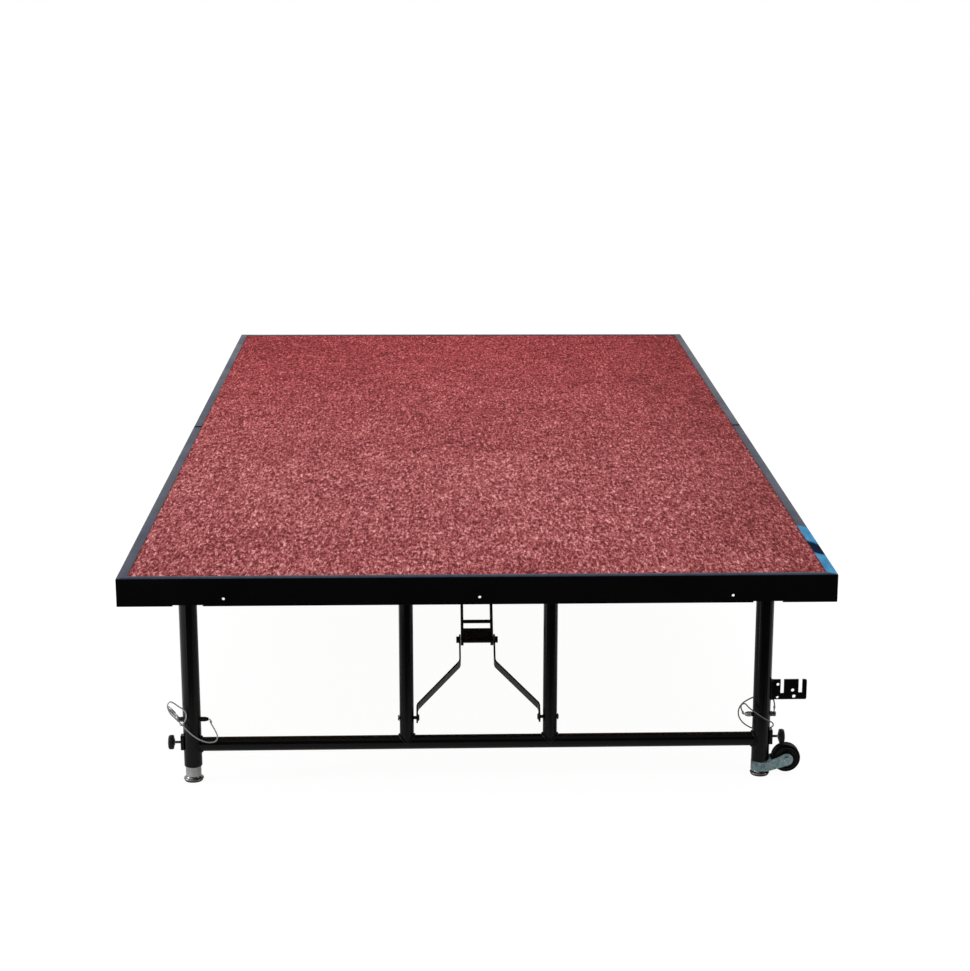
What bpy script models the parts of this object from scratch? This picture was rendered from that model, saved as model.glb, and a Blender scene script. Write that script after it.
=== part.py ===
"""Portable two-height stage: a carpeted 48 x 96 inch deck on two folding leg frames.

Each leg frame swings on a tube under the deck end, is held by a folding knee brace, and carries
two telescoping legs with a height pin on a wire lanyard and a clamp knob. The right-hand legs
also carry a small lifting wheel and a slotted link plate.

Metres, +Z up. The origin is on the floor under the middle of the deck. +Y runs along the deck,
and the front end is at -Y. H in a name is a distance below the top of the deck frame.
"""

import math

import bmesh
import bpy
import numpy as np
from mathutils import Matrix, Vector

# Overall sizes
DECK_WIDTH = 1.2192
DECK_LENGTH = 2.4384
STAGE_HEIGHT = 0.4064
HEIGHT_STEP = 0.2032

# Clearances, and how far a cutter runs past the face that it opens
GAP = 0.0003
RUNNING_GAP = 0.0003
OVERRUN = 0.002

# Deck edge rail
RAIL_DEPTH = 0.049
RAIL_WALL = 0.003
FLANGE_WIDTH = 0.017
LIP_WIDTH = 0.012
LIP_THICKNESS = 0.0025
LEDGE_WIDTH = 0.020
LEDGE_THICKNESS = 0.0025

# Deck layers
CARPET_THICKNESS = 0.006
CARPET_SET_DOWN = 0.0005
PANEL_THICKNESS = 0.012

# Holes and reliefs in the end rails
APRON_HOLE_DIAMETER = 0.005
APRON_HOLE_SIDE_INSET = 0.1786
APRON_HOLE_X = DECK_WIDTH / 2 - APRON_HOLE_SIDE_INSET
APRON_HOLE_H = 0.036
APRON_NOTCH_SIDE_INSET = 0.1184
APRON_NOTCH_X = DECK_WIDTH / 2 - APRON_NOTCH_SIDE_INSET
APRON_NOTCH_WIDTH = 0.051
APRON_NOTCH_DEPTH = 0.0025

# Splice plates where the two lengths of side rail meet
SPLICE_LENGTH = 0.200
SPLICE_HEIGHT = 0.022
SPLICE_THICKNESS = 0.003
SPLICE_BOLT_SPACING = 0.050
SPLICE_BOLT_ACROSS = 0.010
SPLICE_BOLT_HEIGHT = 0.004

# Cross members under the panels
MEMBER_DEPTH = 0.0169
MEMBER_WIDTH = 0.050
MEMBER_WALL = 0.0025
CENTRE_MEMBER_WIDTH = 0.070

# Leg frame
LEG_INSET = 0.120
LEG_SIDE_INSET = 0.1043
LEG_X = DECK_WIDTH / 2 - LEG_SIDE_INSET
LEG_DIAMETER = 0.03175
LEG_WALL = 0.0019
LEG_END_Z = 0.0278
HINGE_H = 0.055
HINGE_TUBE_DIAMETER = 0.0254
HINGE_TUBE_WALL = 0.002
LEG_TOP_ABOVE_HINGE = 0.008
STRUT_X = 0.127
STRUT_DIAMETER = 0.0254
STRUT_WALL = 0.0016
CROSS_TUBE_DIAMETER = 0.0254
CROSS_TUBE_WALL = 0.0016
CROSS_TUBE_Z = 0.0675

# Hinge brackets
BRACKET_SIDE_INSET = 0.0396
BRACKET_X = DECK_WIDTH / 2 - BRACKET_SIDE_INSET
BRACKET_THICKNESS = 0.005
BRACKET_RIM = 0.0065
HINGE_COLLAR_RIM = 0.004
HINGE_COLLAR_THICKNESS = 0.003

# Knee brace
ARM_PIVOT_Z = 0.1130
LINK_PIVOT_INSET = 0.4537
ARM_X_AT_LEG = 0.1085
ARM_X_AT_KNEE = 0.0313
ARM_TAB = 0.012
ARM_STRAIGHT_LOW = 0.0205
ARM_STRAIGHT_HIGH = 0.0505
ARM_BEND_BEFORE = 0.002
ARM_BEND_AFTER = 0.003
ARM_BEND_SHIFT = 0.0015
BAR_WIDTH = 0.020
BAR_THICKNESS = 0.003
LINK_X = 0.0269
LINK_BAR_THICKNESS = 0.005
LINK_PIVOT_H = 0.030
FOLDED_KNEE_H = 0.035
KNEE_OVERHANG = 0.009
KNEE_SLEEVE_DIAMETER = 0.012
KNEE_HEAD_DIAMETER = 0.012
KNEE_HEAD_THICKNESS = 0.005
BRACE_ROD_DIAMETER = 0.0068
BRACE_ROD_FROM_KNEE = 0.040
STOP_PLATE_START = 0.0045
STOP_PLATE_LENGTH = 0.0195
STOP_PLATE_THICKNESS = 0.004
RIVET_DIAMETER = 0.006
RIVET_HEAD_DIAMETER = 0.012
RIVET_HEAD_THICKNESS = 0.0025
RIVET_CROWN_SHARE = 0.7
EAR_THICKNESS = 0.003
EAR_REACH = 0.018
EAR_SIDE_GAP = 0.0008
EAR_EDGE_GAP = 0.0005
LINK_PIN_DIAMETER = 0.008

# Telescoping inner leg and foot
INNER_LEG_DIAMETER = 0.0272
INNER_LEG_WALL = 0.002
INNER_LEG_TOP_GAP = 0.006
FOOT_DIAMETER = 0.0353
FOOT_RIM_HEIGHT = 0.0065
FOOT_HEIGHT = 0.0095
FOOT_EDGE = 0.0015
FOOT_PLUG_LENGTH = 0.020

# Height pin with its ring, and the lanyard anchor on the far side of the leg
PIN_Z = 0.114
PIN_DIAMETER = 0.0079
PIN_HOLE_DIAMETER = 0.0086
PIN_TIP_GAP = 0.0004
PIN_HEAD_DIAMETER = 0.0095
PIN_HEAD_LENGTH = 0.0095
PIN_HEAD_CHAMFER = 0.0015
PIN_TRAVEL = 0.038
RING_DIAMETER = 0.0325
RING_WIRE = 0.0022
RING_FROM_HEAD_END = 0.0035
ANCHOR_LENGTH = 0.0135
ANCHOR_DIAMETER = 0.0085
ANCHOR_TIP_DIAMETER = 0.0055

# Clamp knob and its boss
KNOB_Z = 0.0715
KNOB_DIAMETER = 0.026
KNOB_THICKNESS = 0.0115
KNOB_STAND_OFF = 0.0312
KNOB_LOBES = 8
KNOB_LOBE_DEPTH = 0.0009
KNOB_EDGE = 0.0018
SCREW_DIAMETER = 0.005
SCREW_TIP_GAP = 0.0004
BOSS_HEIGHT = 0.027
BOSS_WIDTH = 0.018
BOSS_REACH = 0.0203
BOSS_CORNER = 0.003

# Lifting wheel
WHEEL_DIAMETER = 0.0508
WHEEL_WIDTH = 0.022
WHEEL_REACH = 0.0460
WHEEL_Z = 0.0322
WHEEL_EDGE = 0.004
WHEEL_HUB_DIAMETER = 0.024
WHEEL_HUB_RECESS = 0.0025
WHEEL_HUB_DRAFT = 0.001
AXLE_DIAMETER = 0.006
AXLE_HEAD_ACROSS = 0.010
AXLE_HEAD_HEIGHT = 0.0035
STRAP_THICKNESS = 0.0025
STRAP_BOTTOM_Z = 0.0102
STRAP_TOP_Z = 0.0272
STRAP_END_RADIUS = 0.0115
STRAP_LOW_ROOT = 0.004
STRAP_HIGH_ROOT = 0.006
STRAP_LAP = 0.002

# Slotted link plate
PLATE_Z = 0.160
PLATE_REACH = 0.0633
PLATE_HEIGHT = 0.0375
PLATE_THICKNESS = 0.003
PLATE_CORNER = 0.003
PLATE_FLANGE_THICKNESS = 0.003
PLATE_FLANGE_WIDTH = 0.014
PLATE_ROOT = 0.004
PLATE_FLANGE_SET_IN = 0.001
SLOT_A_X = 0.0193
SLOT_A_WIDTH = 0.0060
SLOT_A_DEPTH = 0.026
SLOT_B_X = 0.0518
SLOT_B_WIDTH = 0.0066
SLOT_B_DEPTH = 0.025
PLATE_HOLES = (
    (0.0116, 0.0280, 0.0055),
    (0.0113, 0.0038, 0.0046),
    (0.0383, 0.0170, 0.0060),
    (0.0408, 0.0055, 0.0064),
)

# Lanyard
LANYARD_DIAMETER = 0.0024
LANYARD_POINT_STEP = 0.0042
# Route points of the left lanyard: outboard distance from the leg axis, distance in front of
# the leg axis, height above the height pin. It starts at the anchor's tip.
LANYARD_LEFT = (
    (-0.0304, 0.0000, 0.0000),
    (-0.0323, 0.0007, -0.0013),
    (-0.0341, 0.0030, -0.0075),
    (-0.0408, 0.0080, -0.0183),
    (-0.0454, 0.0125, -0.0288),
    (-0.0428, 0.0160, -0.0351),
    (-0.0351, 0.0185, -0.0368),
    (-0.0257, 0.0200, -0.0355),
    (-0.0146, 0.0210, -0.0306),
    (-0.0018, 0.0215, -0.0213),
    (0.0091, 0.0215, -0.0100),
    (0.0183, 0.0213, 0.0010),
    (0.0267, 0.0213, 0.0096),
    (0.0342, 0.0213, 0.0181),
    (0.0383, 0.0213, 0.0270),
    (0.0387, 0.0213, 0.0351),
    (0.0343, 0.0213, 0.0399),
    (0.0281, 0.0213, 0.0376),
    (0.0200, 0.0200, 0.0308),
    (0.0122, 0.0190, 0.0248),
    (0.0080, 0.0185, 0.0173),
    (0.0080, 0.0180, 0.0088),
    (0.0118, 0.0165, -0.0002),
    (0.0180, 0.0110, -0.0066),
    (0.0205, 0.0048, -0.0066),
)
# Route points of the right lanyard. It starts on top of the pin's head.
LANYARD_RIGHT = (
    (0.0225, 0.0000, 0.0058),
    (0.0234, -0.0030, 0.0111),
    (0.0237, -0.0080, 0.0176),
    (0.0215, -0.0150, 0.0246),
    (0.0132, -0.0205, 0.0281),
    (0.0005, -0.0215, 0.0286),
    (-0.0104, -0.0200, 0.0254),
    (-0.0227, -0.0150, 0.0216),
    (-0.0334, -0.0090, 0.0167),
    (-0.0400, -0.0040, 0.0089),
    (-0.0414, 0.0000, -0.0001),
    (-0.0353, -0.0070, -0.0146),
    (-0.0246, -0.0140, -0.0262),
    (-0.0113, -0.0190, -0.0344),
    (0.0028, -0.0215, -0.0379),
    (0.0150, -0.0190, -0.0349),
    (0.0213, -0.0110, -0.0290),
    (0.0224, -0.0030, -0.0226),
    (0.0190, 0.0060, -0.0148),
    (0.0085, 0.0176, -0.0060),
    (-0.0045, 0.0185, 0.0024),
    (-0.0165, 0.0195, 0.0112),
    (-0.0255, 0.0180, 0.0182),
    (-0.0327, 0.0150, 0.0247),
    (-0.0381, 0.0110, 0.0208),
    (-0.0377, 0.0070, 0.0126),
    (-0.0344, 0.0032, 0.0055),
    (-0.0326, 0.0009, 0.0005),
    (-0.0303, 0.0000, 0.0000),
)

# Facets round a full circle
SEG_LEG = 20
SEG_TUBE = 16
SEG_FOOT = 20
SEG_KNOB = 24
SEG_WHEEL = 24
SEG_SMALL = 12
SEG_RING = 16
SEG_RING_WIRE = 6

# Derived heights
HINGE_Z = STAGE_HEIGHT - HINGE_H
CARPET_TOP_H = CARPET_SET_DOWN
CARPET_BOTTOM_H = CARPET_TOP_H + CARPET_THICKNESS
PANEL_TOP_H = CARPET_BOTTOM_H + GAP
PANEL_BOTTOM_H = PANEL_TOP_H + PANEL_THICKNESS
LEDGE_TOP_H = PANEL_BOTTOM_H + GAP
LEDGE_BOTTOM_H = LEDGE_TOP_H + LEDGE_THICKNESS
FLANGE_BOTTOM_H = PANEL_TOP_H - GAP
MEMBER_TOP_H = LEDGE_TOP_H
MEMBER_BOTTOM_H = MEMBER_TOP_H + MEMBER_DEPTH
RAIL_INNER_X = DECK_WIDTH / 2 - RAIL_WALL
LEDGE_INNER_X = DECK_WIDTH / 2 - LEDGE_WIDTH

FRONT = -1
REAR = 1
LEFT = -1
RIGHT = 1
END_NAMES = {FRONT: "front", REAR: "rear"}
SIDE_NAMES = {LEFT: "left", RIGHT: "right"}


def brace_geometry():
    """Knee brace that is straight with the leg upright and lies flat with the leg folded.

    In the plane of the leg's swing, with the origin at the leg hinge, u along the deck away from
    the end and v up. Both pivots are given, and the arm's length follows from the two positions.
    """
    link_pivot = Vector((LINK_PIVOT_INSET - LEG_INSET, HINGE_H - LINK_PIVOT_H))
    arm_pivot = Vector((0.0, ARM_PIVOT_Z - HINGE_Z))
    folded_arm_pivot = Vector((-arm_pivot.y, 0.0))
    knee_rise = HINGE_H - FOLDED_KNEE_H
    link_rise = FOLDED_KNEE_H - LINK_PIVOT_H
    span = (link_pivot - arm_pivot).length
    level = link_pivot.x - folded_arm_pivot.x
    m = span**2 - level**2
    k = m + knee_rise**2 - link_rise**2
    arm_length = (span * k - level * math.sqrt(k * k - 4 * knee_rise**2 * m)) / (2 * m)
    link_length = span - arm_length
    along = (link_pivot - arm_pivot).normalized()
    knee = arm_pivot + along * arm_length
    back = math.sqrt(arm_length**2 - knee_rise**2)
    folded_knee = Vector((folded_arm_pivot.x - back, knee_rise))

    def turn(before, after):
        d = math.atan2(after.y, after.x) - math.atan2(before.y, before.x)
        return (d + math.pi) % (2 * math.pi) - math.pi

    link_turn = turn(knee - link_pivot, folded_knee - link_pivot)
    arm_turn = turn(knee - arm_pivot, folded_knee - folded_arm_pivot)
    return arm_pivot, knee, along, arm_length, link_length, link_turn, arm_turn


(
    ARM_PIVOT,
    KNEE,
    BRACE_ALONG,
    ARM_LENGTH,
    LINK_LENGTH,
    LINK_TURN,
    ARM_TURN,
) = brace_geometry()
MEMBER_BEHIND_LINK_PIVOT = EAR_REACH


def clear_scene():
    for obj in list(bpy.data.objects):
        bpy.data.objects.remove(obj, do_unlink=True)
    for mesh in list(bpy.data.meshes):
        bpy.data.meshes.remove(mesh)
    for curve in list(bpy.data.curves):
        bpy.data.curves.remove(curve)


def make_material(name, colour, roughness, metallic):
    material = bpy.data.materials.new(name)
    material.use_nodes = True
    shader = material.node_tree.nodes["Principled BSDF"]
    shader.inputs["Base Color"].default_value = (*colour, 1.0)
    shader.inputs["Roughness"].default_value = roughness
    shader.inputs["Metallic"].default_value = metallic
    material.diffuse_color = (*colour, 1.0)
    return material


FINISHES = {
    "carpet": ((0.32, 0.06, 0.065), 0.95, 0.0),
    "plywood": ((0.45, 0.32, 0.20), 0.8, 0.0),
    "rail": ((0.02, 0.02, 0.022), 0.4, 0.0),
    "black_steel": ((0.012, 0.012, 0.013), 0.35, 0.0),
    "zinc": ((0.42, 0.48, 0.50), 0.35, 1.0),
    "chrome": ((0.55, 0.55, 0.55), 0.2, 1.0),
    "black_plastic": ((0.015, 0.015, 0.016), 0.45, 0.0),
    "wheel_rubber": ((0.015, 0.015, 0.017), 0.5, 0.0),
    "wire": ((0.5, 0.5, 0.5), 0.35, 1.0),
}


def finish_object(obj, finish, smooth=True):
    colour, roughness, metallic = FINISHES[finish]
    material = make_material(obj.name + "_finish", colour, roughness, metallic)
    obj.data.materials.clear()
    obj.data.materials.append(material)
    if smooth and obj.type == "MESH":
        obj.data.shade_smooth()
        obj.data.set_sharp_from_angle(angle=math.radians(35))
    return obj


def link_mesh(name, bm):
    bmesh.ops.remove_doubles(bm, verts=bm.verts, dist=1e-7)
    bmesh.ops.recalc_face_normals(bm, faces=bm.faces)
    mesh = bpy.data.meshes.new(name)
    bm.to_mesh(mesh)
    bm.free()
    obj = bpy.data.objects.new(name, mesh)
    bpy.context.scene.collection.objects.link(obj)
    return obj


def oriented(axis, a, b, t):
    """A point from two plane coordinates and a position along the axis.

    The plane coordinates are (y, z) for X, (x, z) for Y and (x, y) for Z.
    """
    if axis == "X":
        return (t, a, b)
    if axis == "Y":
        return (a, t, b)
    return (a, b, t)


def prism(name, outline, axis, low, high):
    """A closed outline extruded along an axis."""
    bm = bmesh.new()
    ends = []
    for t in (low, high):
        ends.append([bm.verts.new(oriented(axis, a, b, t)) for a, b in outline])
    bm.faces.new(ends[0])
    bm.faces.new(ends[1])
    count = len(outline)
    for i in range(count):
        j = (i + 1) % count
        bm.faces.new((ends[0][i], ends[0][j], ends[1][j], ends[1][i]))
    return link_mesh(name, bm)


def pierced_prism(name, outline, holes, axis, low, high):
    """An outline with holes in it, filled and then extruded along an axis."""
    bm = bmesh.new()
    edges = []
    for loop in [outline] + list(holes):
        verts = [bm.verts.new(oriented(axis, a, b, low)) for a, b in loop]
        for i in range(len(verts)):
            edges.append(bm.edges.new((verts[i], verts[(i + 1) % len(verts)])))
    bmesh.ops.triangle_fill(bm, use_beauty=True, use_dissolve=False, edges=edges)
    grown = bmesh.ops.extrude_face_region(bm, geom=bm.faces[:])
    moved = [item for item in grown["geom"] if isinstance(item, bmesh.types.BMVert)]
    bmesh.ops.translate(bm, verts=moved, vec=oriented(axis, 0.0, 0.0, high - low))
    return link_mesh(name, bm)


def box(name, x, y, z):
    x, y, z = sorted(x), sorted(y), sorted(z)
    outline = ((x[0], y[0]), (x[1], y[0]), (x[1], y[1]), (x[0], y[1]))
    return prism(name, outline, "Z", z[0], z[1])


def turned(name, profile, axis, centre, segments):
    """A profile of (radius, position) turned about a line along an axis.

    A closed profile that keeps off the axis gives a ring; a radius of 0 closes an end.
    """
    bm = bmesh.new()
    rings = []
    for radius, t in profile:
        if radius <= 0:
            rings.append([bm.verts.new(oriented(axis, centre[0], centre[1], t))])
            continue
        ring = []
        for i in range(segments):
            angle = 2 * math.pi * (i + 0.5) / segments
            a = centre[0] + radius * math.cos(angle)
            b = centre[1] + radius * math.sin(angle)
            ring.append(bm.verts.new(oriented(axis, a, b, t)))
        rings.append(ring)
    pairs = list(zip(rings, rings[1:]))
    if profile[0][0] > 0:
        pairs.append((rings[-1], rings[0]))
    for low, high in pairs:
        for i in range(segments):
            j = (i + 1) % segments
            corners = [low[i % len(low)], low[j % len(low)], high[j % len(high)], high[i % len(high)]]
            unique = list(dict.fromkeys(corners))
            if len(unique) > 2:
                bm.faces.new(unique)
    return link_mesh(name, bm)


def rod(name, axis, centre, radius, low, high, segments):
    profile = ((0, low), (radius, low), (radius, high), (0, high))
    return turned(name, profile, axis, centre, segments)


def pipe(name, axis, centre, radius, wall, low, high, segments):
    inner = radius - wall
    profile = ((inner, low), (radius, low), (radius, high), (inner, high))
    return turned(name, profile, axis, centre, segments)


def hide_helper(obj, owner):
    obj.hide_render = True
    obj.display_type = "WIRE"
    obj.hide_set(True)
    obj.name = owner.name + "_tool_" + obj.name


def combine(obj, other, operation):
    modifier = obj.modifiers.new(operation.lower(), "BOOLEAN")
    modifier.operation = operation
    modifier.solver = "EXACT"
    modifier.object = other
    hide_helper(other, obj)
    return obj


def unite(obj, *others):
    for other in others:
        combine(obj, other, "UNION")
    return obj


def cut(obj, *others):
    for other in others:
        combine(obj, other, "DIFFERENCE")
    return obj


def arc(cx, cy, radius, start, end, steps):
    points = []
    for i in range(steps + 1):
        angle = math.radians(start + (end - start) * i / steps)
        points.append((cx + radius * math.cos(angle), cy + radius * math.sin(angle)))
    return points


def hexagon(cx, cy, across):
    return arc(cx, cy, across / math.sqrt(3), 0, 300, 5)


def empty_at(name, position, parent=None):
    empty = bpy.data.objects.new(name, None)
    empty.empty_display_size = 0.03
    bpy.context.scene.collection.objects.link(empty)
    empty.location = position
    if parent is not None:
        empty.parent = parent
        empty.location = Vector(position) - parent.matrix_world.translation
    bpy.context.view_layer.update()
    return empty


def seat(obj, parent):
    """Hangs an object modelled in world coordinates on an empty, with its origin there."""
    origin = parent.matrix_world.translation.copy()
    users = [obj] + [m.object for m in obj.modifiers if m.type == "BOOLEAN"]
    for user in users:
        if user.parent is not None:
            continue
        if user.type == "MESH":
            user.data.transform(Matrix.Translation(-origin))
        else:
            for spline in user.data.splines:
                for point in spline.points:
                    point.co = (*(Vector(point.co[:3]) - origin), 1.0)
        user.parent = parent
        user.location = (0, 0, 0)
    return obj


def rail_outline():
    """The edge rail's section: (distance inward from the outer face, H)."""
    return (
        (0.0, 0.0),
        (FLANGE_WIDTH, 0.0),
        (FLANGE_WIDTH, FLANGE_BOTTOM_H),
        (RAIL_WALL, FLANGE_BOTTOM_H),
        (RAIL_WALL, LEDGE_TOP_H),
        (LEDGE_WIDTH, LEDGE_TOP_H),
        (LEDGE_WIDTH, LEDGE_BOTTOM_H),
        (RAIL_WALL, LEDGE_BOTTOM_H),
        (RAIL_WALL, RAIL_DEPTH - LIP_THICKNESS),
        (LIP_WIDTH, RAIL_DEPTH - LIP_THICKNESS),
        (LIP_WIDTH, RAIL_DEPTH),
        (0.0, RAIL_DEPTH),
    )


def rail(name, point_at, low_end, high_end):
    """A rail with its section set along a line; each end is a function of the inward distance."""
    bm = bmesh.new()
    ends = []
    for end in (low_end, high_end):
        ends.append([bm.verts.new(point_at(d, end(d), h)) for d, h in rail_outline()])
    bm.faces.new(ends[0])
    bm.faces.new(ends[1])
    count = len(ends[0])
    for i in range(count):
        j = (i + 1) % count
        bm.faces.new((ends[0][i], ends[0][j], ends[1][j], ends[1][i]))
    return link_mesh(name, bm)


def make_end_rail(end, deck):
    name = "end_rail_" + END_NAMES[end]
    reach = DECK_WIDTH / 2 - GAP / 2

    def point_at(d, along, h):
        return (along, end * (DECK_LENGTH / 2 - d), STAGE_HEIGHT - h)

    obj = rail(name, point_at, lambda d: d - reach, lambda d: reach - d)
    z = STAGE_HEIGHT - APRON_HOLE_H
    for i, x in enumerate((-APRON_HOLE_X, 0.0, APRON_HOLE_X)):
        y = (end * (DECK_LENGTH / 2 + OVERRUN), end * (DECK_LENGTH / 2 - RAIL_WALL - OVERRUN))
        drill = rod("hole%d" % i, "Y", (x, z), APRON_HOLE_DIAMETER / 2, min(y), max(y), SEG_SMALL)
        cut(obj, drill)
    half = APRON_NOTCH_WIDTH / 2
    bottom = STAGE_HEIGHT - RAIL_DEPTH
    for side in (LEFT, RIGHT):
        x = side * APRON_NOTCH_X
        y = (end * (DECK_LENGTH / 2 + OVERRUN), end * (DECK_LENGTH / 2 - LIP_WIDTH - OVERRUN))
        relief = (bottom - OVERRUN, bottom + APRON_NOTCH_DEPTH)
        cut(obj, box("relief_" + SIDE_NAMES[side], (x - half, x + half), y, relief))
    finish_object(obj, "rail")
    return seat(obj, deck)


def make_side_rail(side, end, deck):
    name = "side_rail_%s_%s" % (SIDE_NAMES[side], END_NAMES[end])
    reach = DECK_LENGTH / 2 - GAP / 2

    def point_at(d, along, h):
        return (side * (DECK_WIDTH / 2 - d), end * along, STAGE_HEIGHT - h)

    obj = rail(name, point_at, lambda d: GAP / 2, lambda d: reach - d)
    finish_object(obj, "rail")
    return seat(obj, deck)


def make_splice_plate(side, deck):
    outer = side * (RAIL_INNER_X - GAP)
    inner = outer - side * SPLICE_THICKNESS
    middle = STAGE_HEIGHT - (LEDGE_BOTTOM_H + RAIL_DEPTH - LIP_THICKNESS) / 2
    z = (middle - SPLICE_HEIGHT / 2, middle + SPLICE_HEIGHT / 2)
    y = (-SPLICE_LENGTH / 2, SPLICE_LENGTH / 2)
    obj = box("splice_plate_" + SIDE_NAMES[side], (outer, inner), y, z)
    head = inner - side * SPLICE_BOLT_HEIGHT
    for i in range(4):
        along = (i - 1.5) * SPLICE_BOLT_SPACING
        x = sorted((outer - side * SPLICE_THICKNESS / 2, head))
        bolt = prism("bolt%d" % i, hexagon(along, middle, SPLICE_BOLT_ACROSS), "X", x[0], x[1])
        unite(obj, bolt)
    finish_object(obj, "black_steel")
    return seat(obj, deck)


def make_carpet(deck):
    x = DECK_WIDTH / 2 - FLANGE_WIDTH - GAP
    y = DECK_LENGTH / 2 - FLANGE_WIDTH - GAP
    z = (STAGE_HEIGHT - CARPET_BOTTOM_H, STAGE_HEIGHT - CARPET_TOP_H)
    obj = box("deck_carpet", (-x, x), (-y, y), z)
    finish_object(obj, "carpet", smooth=False)
    return seat(obj, deck)


def make_panel(end, deck):
    x = RAIL_INNER_X - GAP
    y = (end * GAP / 2, end * (DECK_LENGTH / 2 - RAIL_WALL - GAP))
    z = (STAGE_HEIGHT - PANEL_BOTTOM_H, STAGE_HEIGHT - PANEL_TOP_H)
    obj = box("deck_panel_" + END_NAMES[end], (-x, x), y, z)
    finish_object(obj, "plywood", smooth=False)
    return seat(obj, deck)


def channel_outline(middle, width):
    """A channel open below: (y, z)."""
    top = STAGE_HEIGHT - MEMBER_TOP_H
    low = STAGE_HEIGHT - MEMBER_BOTTOM_H
    half = width / 2
    inner = half - MEMBER_WALL
    return (
        (middle - half, low),
        (middle - half, top),
        (middle + half, top),
        (middle + half, low),
        (middle + inner, low),
        (middle + inner, top - MEMBER_WALL),
        (middle - inner, top - MEMBER_WALL),
        (middle - inner, low),
    )


def cross_member(name, middle, width, reach):
    """A channel between the side rails, relieved at both ends for the panel ledge."""
    obj = prism(name, channel_outline(middle, width), "X", -reach, reach)
    for side in (LEFT, RIGHT):
        x = (side * (LEDGE_INNER_X - GAP), side * (reach + OVERRUN))
        y = (middle - width / 2 - OVERRUN, middle + width / 2 + OVERRUN)
        z = (STAGE_HEIGHT - MEMBER_TOP_H + OVERRUN, STAGE_HEIGHT - LEDGE_BOTTOM_H - GAP)
        cut(obj, box("ledge_" + SIDE_NAMES[side], x, y, z))
    return obj


def make_centre_member(deck):
    reach = RAIL_INNER_X - 2 * GAP - SPLICE_THICKNESS
    obj = cross_member("cross_member_centre", 0.0, CENTRE_MEMBER_WIDTH, reach)
    finish_object(obj, "black_steel")
    return seat(obj, deck)


def bracket_outline(y):
    """A hinge bracket plate hanging from its cross member: (y, z)."""
    top = STAGE_HEIGHT - LEDGE_BOTTOM_H - 2 * GAP
    shoulder = STAGE_HEIGHT - MEMBER_BOTTOM_H
    radius = HINGE_TUBE_DIAMETER / 2 + RUNNING_GAP + BRACKET_RIM
    half = MEMBER_WIDTH / 2 - MEMBER_WALL / 2
    points = [(y + half, top), (y - half, top), (y - half, shoulder)]
    points += arc(y, HINGE_Z, radius, 180, 360, 10)
    points.append((y + half, shoulder))
    return points


def make_hinge_member(end, deck):
    y = end * (DECK_LENGTH / 2 - LEG_INSET)
    obj = cross_member("hinge_member_" + END_NAMES[end], y, MEMBER_WIDTH, RAIL_INNER_X - GAP)
    for side in (LEFT, RIGHT):
        x = sorted((side * BRACKET_X, side * (BRACKET_X + BRACKET_THICKNESS)))
        unite(obj, prism("bracket_" + SIDE_NAMES[side], bracket_outline(y), "X", x[0], x[1]))
    radius = HINGE_TUBE_DIAMETER / 2 + RUNNING_GAP
    for side in (LEFT, RIGHT):
        x = sorted((side * (BRACKET_X - OVERRUN), side * (BRACKET_X + BRACKET_THICKNESS + OVERRUN)))
        bore = rod("bore_" + SIDE_NAMES[side], "X", (y, HINGE_Z), radius, x[0], x[1], SEG_TUBE)
        cut(obj, bore)
    finish_object(obj, "black_steel")
    return seat(obj, deck)


def make_brace_member(end, deck):
    pivot_y = end * (DECK_LENGTH / 2 - LINK_PIVOT_INSET)
    front = DECK_LENGTH / 2 - LINK_PIVOT_INSET - MEMBER_BEHIND_LINK_PIVOT
    y = end * (front - MEMBER_WIDTH / 2)
    obj = cross_member("brace_member_" + END_NAMES[end], y, MEMBER_WIDTH, RAIL_INNER_X - GAP)
    pivot_z = STAGE_HEIGHT - LINK_PIVOT_H
    half = LINK_PIVOT_H - MEMBER_TOP_H - EAR_EDGE_GAP
    back_y = end * (front - MEMBER_WALL / 2)
    for side in (LEFT, RIGHT):
        inner = side * (LINK_X + LINK_BAR_THICKNESS / 2 + EAR_SIDE_GAP)
        x = sorted((inner, inner + side * EAR_THICKNESS))
        turn = -180 * end
        outline = arc(pivot_y, pivot_z, half, 90, 90 + turn, 8)
        low = max(pivot_z - half, STAGE_HEIGHT - MEMBER_BOTTOM_H + EAR_EDGE_GAP)
        outline.append((back_y, low))
        outline.append((back_y, pivot_z + half))
        unite(obj, prism("ear_" + SIDE_NAMES[side], outline, "X", x[0], x[1]))
    radius = LINK_PIN_DIAMETER / 2 + RUNNING_GAP
    for side in (LEFT, RIGHT):
        inner = side * (LINK_X + LINK_BAR_THICKNESS / 2)
        x = sorted((inner, inner + side * (EAR_SIDE_GAP + EAR_THICKNESS + OVERRUN)))
        bore = rod("bore_" + SIDE_NAMES[side], "X", (pivot_y, pivot_z), radius, x[0], x[1], 16)
        cut(obj, bore)
    finish_object(obj, "black_steel")
    return seat(obj, deck)


def make_hinge_tube(end, frame):
    y = end * (DECK_LENGTH / 2 - LEG_INSET)
    radius = HINGE_TUBE_DIAMETER / 2
    inner = radius - HINGE_TUBE_WALL
    collar = radius + HINGE_COLLAR_RIM
    seat_x = BRACKET_X + BRACKET_THICKNESS + GAP
    tip = seat_x + HINGE_COLLAR_THICKNESS
    profile = (
        (inner, -tip),
        (collar, -tip),
        (collar, -seat_x),
        (radius, -seat_x),
        (radius, seat_x),
        (collar, seat_x),
        (collar, tip),
        (inner, tip),
    )
    obj = turned("hinge_tube_" + END_NAMES[end], profile, "X", (y, HINGE_Z), SEG_TUBE)
    finish_object(obj, "black_steel")
    return seat(obj, frame)


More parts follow.
